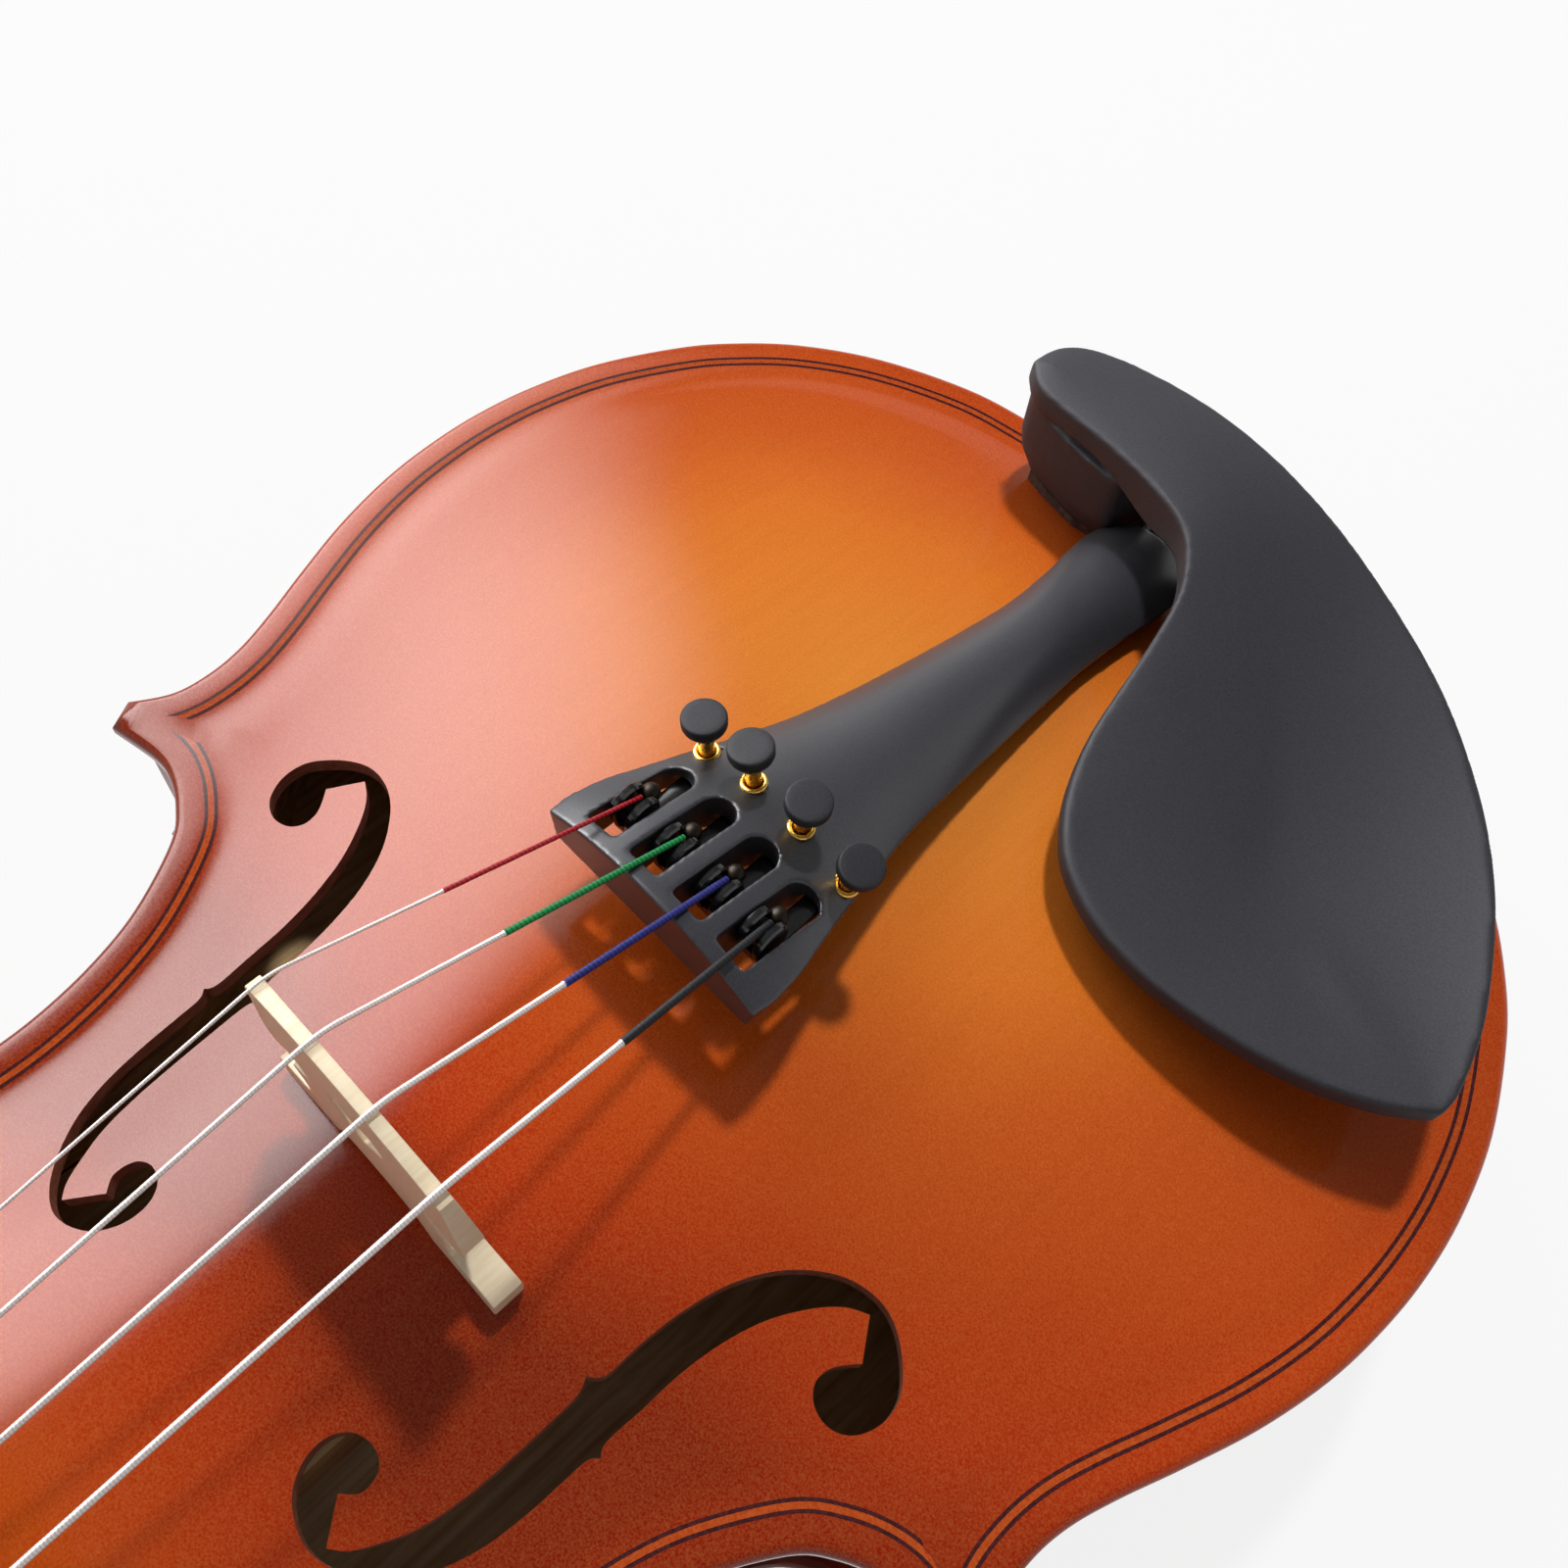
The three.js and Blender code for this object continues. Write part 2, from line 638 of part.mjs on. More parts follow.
const bareRun = cornerBlockLength + cornerBlockSetback + fitGap;
const lowerFull = [...mirrorPath(lowerPath).slice(0, -1), ...lowerPath];
const lowerRib = solidOf(makeRib(lowerFull, bareRun, bareRun));
const bottomBlockSpace = box(
  place(-blockHalfWidth - fitGap, bottomY, backJoint),
  place(blockHalfWidth + fitGap, bottomY + ribInner + blockDepth, topJoint),
);
const bottomShell = solidOf(raise(offsetPath(lowerFull, ribInner), backJoint, topJoint));
const lowerRibCut = lowerRib.subtract(solidOf(bottomBlockSpace).intersect(bottomShell)).subtract(buttonHole);
addPiece('lower_rib', geometryOf(lowerRibCut), maple);

const waistRib = makeRib(cutPath(waistPath, ribMitre, pathLength(waistPath) * 2), bareRun, bareRun);
addPiece('c_rib_treble', waistRib, maple);
addPiece('c_rib_bass', mirrored(waistRib), maple);

const upperRun = pathLength(upperPath);
const upperRib = makeRib(cutPath(upperPath, 0, upperRun - heelHalfWidth - fitGap), bareRun, blockHalfWidth);
addPiece('upper_rib_treble', upperRib, maple);
addPiece('upper_rib_bass', mirrored(upperRib), maple);

// Where two stretches cross, or null where they don't.
function crossingOf(a, b, c, d) {
  const [first, second] = [b.clone().sub(a), d.clone().sub(c)];
  const turn = first.cross(second);
  if (turn === 0) return null;
  const alongFirst = c.clone().sub(a).cross(second) / turn;
  const alongSecond = c.clone().sub(a).cross(first) / turn;
  const crosses = alongFirst > 0 && alongFirst < 1 && alongSecond > 0 && alongSecond < 1;
  return crosses ? a.clone().lerp(b, alongFirst) : null;
}

// Two paths joined into one, each cut back to their crossing where they cross.
function joinPaths(first, second) {
  for (let i = 0; i + 1 < first.length; i += 1) {
    for (let j = second.length - 2; j >= 0; j -= 1) {
      const at = crossingOf(first[i], first[i + 1], second[j], second[j + 1]);
      if (at) return [...first.slice(0, i + 1), at, ...second.slice(j + 1)];
    }
  }
  return [...first, ...second];
}

// A block in the corner between two ribs.
function makeCornerBlock(toCorner, fromCorner) {
  const depth = ribInner + fitGap;
  const run = pathLength(toCorner);
  const first = offsetPath(cutPath(toCorner, run - bareRun, run - cornerBlockSetback), depth);
  const second = offsetPath(cutPath(fromCorner, cornerBlockSetback, bareRun - cornerBlockSetback), depth);
  return raise(joinPaths(first, second), backJoint + glueGap, topJoint - glueGap);
}
const lowerCornerBlock = makeCornerBlock(lowerPath, waistPath);
const upperCornerBlock = makeCornerBlock(waistPath, upperPath);
const indexed = (geometry) => geometryOf(solidOf(geometry));
addPiece('corner_block_lower_treble', indexed(lowerCornerBlock), innerSpruce);
addPiece('corner_block_lower_bass', mirrored(indexed(lowerCornerBlock)), innerSpruce);
addPiece('corner_block_upper_treble', indexed(upperCornerBlock), innerSpruce);
addPiece('corner_block_upper_bass', mirrored(indexed(upperCornerBlock)), innerSpruce);

// End blocks: the neck's root is let into the top one, the end button into the bottom one.
function endBlock(path, farY) {
  const curve = offsetPath(path, ribInner + fitGap).filter((at) => Math.abs(at.x) < blockHalfWidth);
  curve.push(point(curve.at(-1).x, farY), point(curve[0].x, farY));
  return solidOf(raise(curve, backJoint + glueGap, topJoint - glueGap));
}
const bottomBlock = endBlock(lowerFull, bottomY + ribInner + blockDepth).subtract(buttonHole);
const upperFull = [...upperPath, ...mirrorPath(upperPath).slice(1)];
const topBlock = endBlock(upperFull, topY - ribInner - blockDepth).subtract(neckSocket(fitGap));
addPiece('bottom_block', geometryOf(bottomBlock), innerSpruce);
addPiece('top_block', geometryOf(topBlock), innerSpruce);

// Bass bar under the belly, and the sound post between belly and back.
function makeBassBar() {
  const stations = 13;
  const barStart = bottomY + ribInner + blockDepth + bassBarLowerGap;
  const barEnd = topY - ribInner - blockDepth - bassBarUpperGap;
  const loops = [];
  for (let i = 0; i < stations; i += 1) {
    const along = i / (stations - 1);
    const share = 2 * along - 1;
    const y = barStart + along * (barEnd - barStart);
    const half = bassBarWidth / 2;
    const under = Math.min(bellyUnder(bassBarX - half, y), bellyUnder(bassBarX + half, y));
    const low = under - bassBarHeight * (1 - bassBarTaperShare * share * share);
    const lifts = [bellyUnder(bassBarX - half, y), bellyUnder(bassBarX + half, y)].map((z) => z - fitGap);
    loops.push([
      place(bassBarX - half, y, lifts[0]), place(bassBarX - half, y, low),
      place(bassBarX + half, y, low), place(bassBarX + half, y, lifts[1]),
    ]);
  }
  const bellySolid = solidOf(bellyGeometry).translate(0, 0, -fitGap / 2);
  return geometryOf(solidOf(skin(loops)).subtract(bellySolid));
}
addPiece('bass_bar', makeBassBar(), innerSpruce);

const postRim = [[0, 0], [1, 0], [-1, 0], [0, 1], [0, -1]].map(([x, y]) =>
  [soundPostX + x * soundPostRadius, soundPostY + y * soundPostRadius]);
const postLow = Math.max(...postRim.map(([x, y]) => backOver(x, y))) + glueGap;
const postHigh = Math.min(...postRim.map(([x, y]) => bellyUnder(x, y))) - glueGap;
const postFoot = place(soundPostX, soundPostY, postLow);
const postHead = place(soundPostX, soundPostY, postHigh);
addPiece('sound_post', bar(postFoot, postHead, soundPostRadius), innerSpruce);

// The line under the fingerboard, and the crown on top of it.
const fingerboardUnder = (y) => edgeTop + overstand - (y - topY) * Math.tan(neckTilt);
const fingerboardHalf = (y) => {
  const share = (y - fingerboardReach) / (nutY - fingerboardReach);
  return (fingerboardWidthEnd + (fingerboardWidthNut - fingerboardWidthEnd) * share) / 2;
};
const sagitta = (half, radius) => radius - Math.sqrt(radius * radius - half * half);
const crownHeight = (x, y) => {
  const half = fingerboardHalf(y);
  const crown = sagitta(half, fingerboardRadius) - sagitta(Math.abs(x), fingerboardRadius);
  return fingerboardUnder(y) + fingerboardEdge + crown;
};

function crownedLoop(y, lift, low) {
  const half = fingerboardHalf(Math.min(y, nutY));
  const loop = [place(half, y, low), place(-half, y, low)];
  const steps = 8;
  for (let i = 0; i <= steps; i += 1) {
    const x = -half + (2 * half * i) / steps;
    loop.push(place(x, y, crownHeight(x, Math.min(y, nutY)) + lift));
  }
  return loop;
}
const boardEnds = [fingerboardReach, nutY - glueGap];
addPiece('fingerboard', skin(boardEnds.map((y) => crownedLoop(y, 0, fingerboardUnder(y) + glueGap))), ebony);
const nutEnds = [nutY, headStart - nutLength * 0.45, headStart];
const nutLifts = [nutLift, nutLift, -nutFall];
const nutLow = fingerboardUnder(nutY) + glueGap;
addPiece('nut', skin(nutEnds.map((y, i) => crownedLoop(y, nutLifts[i], nutLow))), ebony);

// Neck shank and heel: U-shaped sections under the fingerboard line.
// Each row: share of the way from the root to the nut, share of the heel's depth, roundness.
const neckShares = [
  [0, 1, 0.5], [0.075, 1, 0.5], [0.095, 0.97, 0.52], [0.115, 0.83, 0.6], [0.145, 0.61, 0.7], [0.185, 0.44, 0.8],
  [0.24, 0.38, 0.85], [0.35, 0.39, 0.85], [0.7, 0.46, 0.85], [0.96, 0.56, 0.85], [1, 0.6, 0.85],
];
function makeShank() {
  const startY = topY - heelSetback;
  const span = headStart - startY;
  const ribs = 8;
  return skin(neckShares.map(([share, depthShare, power]) => {
    const y = startY + share * span;
    const half = Math.min(fingerboardHalf(Math.max(y, fingerboardReach)), heelHalfWidth);
    const top = fingerboardUnder(y);
    const heelDepth = top - backJoint - glueGap;
    const loop = [];
    for (let i = 0; i <= ribs; i += 1) {
      const angle = (Math.PI * i) / ribs;
      const x = half * Math.sign(Math.cos(angle)) * Math.abs(Math.cos(angle)) ** power;
      loop.push(place(x, y, top - depthShare * heelDepth * Math.sin(angle) ** power));
    }
    return loop;
  }));
}

// Places on the head, measured along the neck from the nut and square to it.
const headOrigin = place(0, headStart, fingerboardUnder(headStart));
function headPlace(x, along, rise) {
  const y = headOrigin.y + along * Math.cos(neckTilt) + rise * Math.sin(neckTilt);
  return place(x, y, headOrigin.z - along * Math.sin(neckTilt) + rise * Math.cos(neckTilt));
}
const headHalf = (along) => (headWidthNut + (headWidthThroat - headWidthNut) * (along / headTaperLength)) / 2;

// A side view of the head, as shares of the cheeks' height, given a width that narrows toward the scroll.
const headSideShares = [
  [-0.1, 0], [0.05, 0], [0.35, 0.12], [1.2, 0.2], [2.2, 0.14], [2.85, -0.02], [3.15, -0.22], [3.35, -0.3],
  [4.12, -0.3], [4.12, -1.19], [3.7, -1.24], [3.3, -1.27], [2.7, -1.26], [2, -1.2], [1.3, -1.09], [0.7, -0.95],
  [0.2, -0.77], [-0.1, -0.62],
];
const headHollowShares = [
  [0.08, 0.6], [3.15, 0.6], [3.12, -0.5], [2.9, -0.86], [2.3, -0.94], [1.5, -0.86], [0.8, -0.72],
  [0.42, -0.64], [0.1, -0.4],
];
function headSlice(shares, halfAt) {
  const outlineAt = shares.map(([along, rise]) => [along * cheekHeight, rise * cheekHeight]);
  const sides = [-1, 1].map((side) =>
    outlineAt.map(([along, rise]) => headPlace(side * halfAt(along), along, rise)));
  return solidOf(skin(sides));
}

// The scroll: ledges and walls that wind in together while each turn stands wider than the last.
function makeScroll() {
  const stepCount = Math.round(scrollTurns * scrollSteps);
  const angleAt = (i) => (2 * Math.PI * i) / scrollSteps;
  const radiusAt = (i) => scrollRadius * Math.exp(-scrollShrink * angleAt(i));
  const halfAt = (i) => {
    const share = Math.max(i, 0) / stepCount;
    return scrollHalfWidth + (scrollEyeHalfWidth - scrollHalfWidth) * share ** 1.5;
  };
  const positions = [];
  const indices = [];
  const at = (i, radius, x) => {
    const angle = angleAt(i) - Math.PI / 2;
    const along = scrollEyeDistance + radius * Math.cos(angle);
    positions.push(...headPlace(x, along, scrollEyeRise + radius * Math.sin(angle)).toArray());
    return positions.length / 3 - 1;
  };
  const quad = (a, b, c, d) => indices.push(a, b, c, a, c, d);
  const last = stepCount - scrollSteps;
  for (const side of [-1, 1]) {
    const face = (a, b, c, d) => (side > 0 ? quad(a, b, c, d) : quad(d, c, b, a));
    for (let i = 0; i < last; i += 1) {
      const ledge = [i, i + 1].map((k) => [
        at(k, radiusAt(k), side * halfAt(k)),
        at(k, radiusAt(k + scrollSteps), side * halfAt(k)),
      ]);
      face(ledge[0][0], ledge[1][0], ledge[1][1], ledge[0][1]);
      const rise = [i, i + 1].map((k) =>
        at(k, radiusAt(k + scrollSteps), side * halfAt(k + scrollSteps)));
      face(ledge[0][1], ledge[1][1], rise[1], rise[0]);
    }
    const eyeMiddle = at(0, 0, side * halfAt(stepCount));
    const rim = [];
    for (let i = last; i <= stepCount; i += 1) rim.push(at(i, radiusAt(i), side * halfAt(i)));
    rim.push(at(last, radiusAt(stepCount), side * halfAt(last)));
    rim.forEach((a, i) => {
      const b = rim[(i + 1) % rim.length];
      if (side > 0) indices.push(a, b, eyeMiddle);
      else indices.push(b, a, eyeMiddle);
    });
  }
  for (let i = 0; i < scrollSteps; i += 1) {
    const rows = [i, i + 1].map((k) => {
      const inner = k === scrollSteps ? halfAt(0) : halfAt(k) / 2;
      return [-halfAt(k), -inner, inner, halfAt(k)].map((x) => at(k, radiusAt(k), x));
    });
    for (let j = 0; j < 3; j += 1) quad(rows[0][j], rows[1][j], rows[1][j + 1], rows[0][j + 1]);
  }
  const start = [-1, 1].map((side) => [
    at(0, radiusAt(0), side * halfAt(0)),
    at(0, radiusAt(scrollSteps), side * halfAt(0)),
  ]);
  const mid = [-1, 1].map((side) => at(0, radiusAt(0), (side * halfAt(0)) / 2));
  indices.push(start[0][0], mid[0], start[0][1], mid[0], start[1][1], start[0][1]);
  indices.push(mid[0], mid[1], start[1][1], mid[1], start[1][0], start[1][1]);
  return closeMesh(positions, indices);
}

// Pegs, told apart by the string that they wind.
const pegCentre = (k) => headPlace(0, pegDistances[k], -pegDrop);
const pegProfile = (k, clearance) => {
  const half = headHalf(pegDistances[k]);
  return [
    [0, -half - pegEndReach],
    [pegRadiusThin + clearance, -half - pegEndReach],
    [pegRadiusThick + clearance, half + pegEndReach],
  ];
};
const lathe = (rows, sides) => new THREE.LatheGeometry(rows.map(([r, h]) => point(r, h)), sides);
const toHead = (geometry, k) => geometry.rotateZ(-pegSides[k] * Math.PI / 2);

function makePeg(k) {
  const collar = headHalf(pegDistances[k]) + pegCollarGap;
  const shaft = lathe([
    ...pegProfile(k, 0),
    [pegRadiusThick * 0.95, collar - pegCollarLength - pegCollarBevel],
    [pegCollarRadius, collar - pegCollarLength],
    [pegCollarRadius, collar],
    [pegRadiusThick * 0.8, collar + pegStemFlare],
    [pegRadiusThick * 0.7, collar + pegStemLength],
    [0, collar + pegStemLength + pegCollarLength],
  ], 12);
  const thumb = new THREE.SphereGeometry(1, 10, 7);
  thumb.scale(pegThumbWidth / 2, pegThumbLength / 2, pegThumbDepth / 2);
  thumb.translate(0, collar + pegThumbSink + pegThumbLength / 2, 0);
  const pip = new THREE.SphereGeometry(pegPipRadius, 6, 4);
  pip.translate(0, collar + pegThumbSink + pegThumbLength, 0);
  return toHead(geometryOf(solidOf(shaft).add(solidOf(thumb)).add(solidOf(pip))), k);
}

function makeNeck() {
  let solid = solidOf(makeShank()).add(headSlice(headSideShares, headHalf)).add(solidOf(makeScroll()));
  solid = solid.subtract(headSlice(headHollowShares, (along) => headHalf(along) - cheekThickness));
  for (let k = 0; k < stringNames.length; k += 1) {
    const rows = pegProfile(k, fitGap);
    const hole = lathe([[0, rows[0][1] - cutOverrun], [rows[1][0], rows[1][1] - cutOverrun],
      [rows[2][0], rows[2][1] + cutOverrun], [0, rows[2][1] + cutOverrun]], 12);
    const centre = pegCentre(k);
    solid = solid.subtract(solidOf(toHead(hole, k).translate(centre.x, centre.y, centre.z)));
  }
  return geometryOf(solid);
}
addPiece('neck', makeNeck(), maple);

for (let k = 0; k < stringNames.length; k += 1) {
  const peg = addPiece(`${stringNames[k][0]}_peg`, makePeg(k), ebony);
  peg.position.copy(pegCentre(k));
}

// Bridge: a maple blade with a heart, two side bites and feet cut to the belly.
const bridgeSideShares = [
  [1.01, 0.06], [0.93, 0.1], [0.72, 0.13], [0.63, 0.19], [0.64, 0.28], [0.72, 0.33], [0.6, 0.38], [0.5, 0.44],
  [0.56, 0.51], [0.7, 0.52], [0.86, 0.45], [0.96, 0.49], [0.98, 0.56], [0.93, 0.66], [0.87, 0.78], [0.84, 0.86],
];
const bridgeFootShares = [0.44, 0.62, 0.8, 1];
const bridgeArchShares = [[0.4, 0.06], [0.32, 0.11], [0.17, 0.145], [0, 0.155]];
const bridgeHeartShares = [
  [0, 0.47], [0.1, 0.53], [0.21, 0.6], [0.22, 0.67], [0.15, 0.71], [0.07, 0.68], [0, 0.62],
];
const bridgeTopAt = (x) => bridgeTop - sagitta(Math.abs(x), bridgeTopRadius) - bridgeTrebleFall * x;
function makeBridge() {
  const from = (share) => bellyTop + share * bridgeHeight;
  const half = (side) => [
    ...bridgeArchShares.map(([x, y]) => [x, from(y)]).reverse().slice(side > 0 ? 0 : 1),
    ...bridgeFootShares.map((x) => [x, bellyOver(side * x * bridgeHalfWidth, 0) + fitGap]),
    ...bridgeSideShares.map(([x, y]) => [x, from(y)]),
    ...[0.8, 0.62, 0.42, 0.2].map((x) => [x, bridgeTopAt(side * x * bridgeHalfWidth)]),
  ].map(([x, z]) => point(side * x * bridgeHalfWidth, z));
  const shape = new THREE.Shape([...half(1), point(0, bridgeTopAt(0)), ...half(-1).reverse()]);
  const heart = (side) => bridgeHeartShares.map(([x, y]) => point(side * x * bridgeHalfWidth, from(y)));
  shape.holes.push(new THREE.Path([...heart(1), ...heart(-1).reverse().slice(1, -1)]));
  const geometry = new THREE.ExtrudeGeometry(shape, { depth: bridgeFootThickness, bevelEnabled: false });
  geometry.translate(0, 0, -bridgeFootThickness / 2).rotateX(Math.PI / 2);
  const places = geometry.attributes.position;
  for (let i = 0; i < places.count; i += 1) {
    const share = Math.max(0, (places.getZ(i) - bellyTop) / bridgeHeight);
    const thin = 1 + (bridgeTopThickness / bridgeFootThickness - 1) * share;
    places.setY(i, places.getY(i) * thin);
  }
  return geometryOf(solidOf(geometry));
}
addPiece('bridge', makeBridge(), bareMaple);

// Tailpiece: an arched bar, wide at the bridge and slender at the tail.
const tailY = (share) => -tailpieceFront - share * tailpieceLength;
const tailWidthShares = [
  [0, 0.985], [0.03, 1], [0.08, 0.965], [0.12, 0.905], [0.17, 0.835], [0.22, 0.77], [0.27, 0.71], [0.34, 0.63],
  [0.43, 0.57], [0.53, 0.52], [0.65, 0.465], [0.75, 0.43], [0.84, 0.45], [0.92, 0.485], [0.97, 0.43], [1, 0.22],
];
const tailCrestShares = [
  [0, 1], [0.08, 0.925], [0.17, 0.82], [0.27, 0.69], [0.43, 0.49], [0.65, 0.25], [0.82, 0.11], [0.95, 0.04],
  [1, 0],
];
const tailDropShares = [[0, 0.235], [0.17, 0.245], [0.34, 0.285], [0.52, 0.305], [0.78, 0.28], [1, 0.23]];
const tailDepthShares = [
  [0, 0.52], [0.17, 0.45], [0.27, 0.42], [0.43, 0.4], [0.65, 0.39], [0.82, 0.37], [0.95, 0.36], [1, 0.33],
];
const tailCrest = (share) =>
  tailpieceEndHeight + readTable(tailCrestShares, share) * (tailpieceFrontHeight - tailpieceEndHeight);
const tailTop = (x, share) => {
  const half = readTable(tailWidthShares, share) * tailpieceHalfWidth;
  const across = Math.min(Math.abs(x) / half, 1);
  return tailCrest(share) - readTable(tailDropShares, share) * tailpieceHalfWidth * across ** 2.2;
};
const slotX = (k) => (k - 1.5) * stringSpacingTail;
const pivot = place(0, -tailpieceFront - pivotBack, pivotHeight);

// The axis of a tuning screw: up through the tailpiece, leaning outward.
const screwAxis = (k) => place(Math.sin(screwLeans[k]), 0, Math.cos(screwLeans[k]));
const screwFoot = (k) => {
  const x = slotX(k) * screwSpread;
  const share = screwBack / tailpieceLength;
  return place(x, tailY(share), tailTop(x, share));
};

function makeTailpiece() {
  const stations = 12;
  const columns = 8;
  const loops = [];
  for (let j = 0; j < stations; j += 1) {
    const share = (j / (stations - 1)) ** 1.1;
    const half = readTable(tailWidthShares, share) * tailpieceHalfWidth;
    const floor = tailCrest(share) - readTable(tailDepthShares, share) * tailpieceHalfWidth;
    const loop = [place(half * 0.94, tailY(share), floor), place(-half * 0.94, tailY(share), floor)];
    for (let i = 0; i <= columns; i += 1) {
      const x = -half + (2 * half * i) / columns;
      loop.push(place(x, tailY(share), tailTop(x, share)));
    }
    loops.push(loop);
  }
  let solid = solidOf(skin(loops));
  const under = pivotHeight - tailpieceHalfWidth;
  const over = tailpieceFrontHeight + cutOverrun;
  for (let k = 0; k < stringNames.length; k += 1) {
    const x = slotX(k);
    const half = slotWidth / 2;
    const front = -tailpieceFront - slotFront;
    const back = front - slotLength + half;
    const slot = [point(x + half, front), point(x - half, front)];
    for (let i = 0; i <= 6; i += 1) {
      const angle = Math.PI + (Math.PI * i) / 6;
      slot.push(point(x + half * Math.cos(angle), back + half * Math.sin(angle)));
    }
    solid = solid.subtract(solidOf(raise(slot, under, over)));
    const pocketRoof = pivotHeight - leverArmDrop + leverArmThickness + fitGap;
    const pocketHalf = leverArmHalf + fitGap;
    const pocketEnd = pivot.y - leverArm - fitGap;
    const pocket = box(place(x - pocketHalf, pocketEnd, under), place(x + pocketHalf, back, pocketRoof));
    solid = solid.subtract(solidOf(pocket));
    const axis = screwAxis(k);
    const foot = screwFoot(k);
    const hole = bar(foot.clone().addScaledVector(axis, -tailpieceHalfWidth / 2),
      foot.clone().addScaledVector(axis, cutOverrun), screwRadius + fitGap, 10);
    solid = solid.subtract(solidOf(hole));
  }
  const pinHalf = tailpieceHalfWidth + cutOverrun;
  const pinHole = bar(pivot.clone().setX(-pinHalf), pivot.clone().setX(pinHalf), pivotRadius + fitGap, 10);
  solid = solid.subtract(solidOf(pinHole));
  for (const side of [-1, 1]) {
    const x = side * tailgutHalfSpan;
    const inner = place(x, tailgutEntry.y, tailgutEntry.z);
    const outer = place(x, tailY(1) - cutOverrun, tailgutExitZ);
    const gutHole = bar(inner, outer, tailgutRadius + fitGap, 10);
    solid = solid.subtract(solidOf(gutHole));
  }
  return geometryOf(solid);
}
const tailgutEntryShare = 0.91;
const tailgutEntry = place(0, tailY(tailgutEntryShare), tailCrest(tailgutEntryShare) - tailgutEntryDepth);
const tailgutExitZ = tailCrest(1) - tailgutExitDepth;
addPiece('tailpiece', makeTailpiece(), blackened);

// Fine tuners: a forked lever on the cross pin, pushed down behind by a screw with a round knob.
function makeLever(k) {
  const half = leverWidth / 2;
  let solid = solidOf(bar(place(-half, 0, 0), place(half, 0, 0), leverBoss, 12));
  const armTop = -leverArmDrop + leverArmThickness;
  const arm = box(place(-leverArmHalf, -leverArm, -leverArmDrop), place(leverArmHalf, 0, armTop));
  const stem = box(place(-half, -forkThickness * 0.75, 0), place(half, forkThickness * 0.25, forkHeight));
  const noseY = -forkThickness / 4;
  const nose = bar(place(-half, noseY, forkHeight), place(half, noseY, forkHeight), forkThickness / 2, 8);
  for (const add of [arm, stem, nose]) solid = solid.add(solidOf(add));
  const gap = stringRadii[0] + fitGap;
  const forkReach = forkThickness * 2;
  const fork = box(place(-gap, -forkReach, forkHeight * 0.62), place(gap, forkReach, forkHeight * 2));
  const bore = bar(place(-half - cutOverrun, 0, 0), place(half + cutOverrun, 0, 0), pivotRadius + fitGap, 10);
  const seat = new THREE.SphereGeometry(ballRadius + fitGap, 8, 6).translate(0, ballBack, forkHeight * 0.93);
  for (const cut of [fork, bore, seat]) solid = solid.subtract(solidOf(cut));
  return geometryOf(solid);
}
const ballBack = -forkThickness * 0.75 - ballRadius * 0.7;

addPiece('tuner_pivot_rod', bar(
  pivot.clone().setX(-tailpieceHalfWidth * 0.88),
  pivot.clone().setX(tailpieceHalfWidth * 0.88),
  pivotRadius, 12,
), nickel);

const ballCentre = (k) => place(slotX(k), pivot.y + ballBack, pivot.z + forkHeight * 0.93);
for (let k = 0; k < stringNames.length; k += 1) {
  const letter = stringNames[k][0];
  addPiece(`${letter}_tuner_lever`, makeLever(k), blackMetal).position.set(slotX(k), pivot.y, pivot.z);
  const ball = addPiece(`${letter}_ball_end`, new THREE.SphereGeometry(ballRadius, 8, 6), brass);
  ball.position.copy(ballCentre(k));

  const axis = screwAxis(k);
  const turn = new THREE.Quaternion().setFromUnitVectors(place(0, 1, 0), axis);
  const foot = screwFoot(k);
  const armTop = pivot.z - leverArmDrop + leverArmThickness + fitGap;
  const reach = (foot.z - armTop) / axis.z;
  const screw = lathe([
    [0, -reach],
    [screwRadius * 0.6, -reach],
    [screwRadius, -reach + screwTaper],
    [screwRadius, knobLift - screwHeadLength - screwTaper],
    [screwHeadRadius, knobLift - screwHeadLength],
    [screwHeadRadius, knobLift - fitGap],
    [0, knobLift - fitGap],
  ], 10);
  const screwMesh = addPiece(`${letter}_tuner_screw`, indexed(screw), brass);
  const knobTop = knobLift + knobThickness;
  const knob = lathe([
    [0, knobLift],
    [knobRadius * 0.86, knobLift],
    [knobRadius, knobLift + knobBevelLow],
    [knobRadius, knobTop - knobBevelHigh],
    [knobRadius * 0.86, knobTop],
    [knobRadius * 0.5, knobTop - knobDish / 2],
    [0, knobTop - knobDish],
  ], 16);
  const knobMesh = addPiece(`${letter}_tuner_knob`, indexed(knob), blackened);
  for (const mesh of [screwMesh, knobMesh]) {
    mesh.position.copy(foot);
    mesh.quaternion.copy(turn);
  }
}

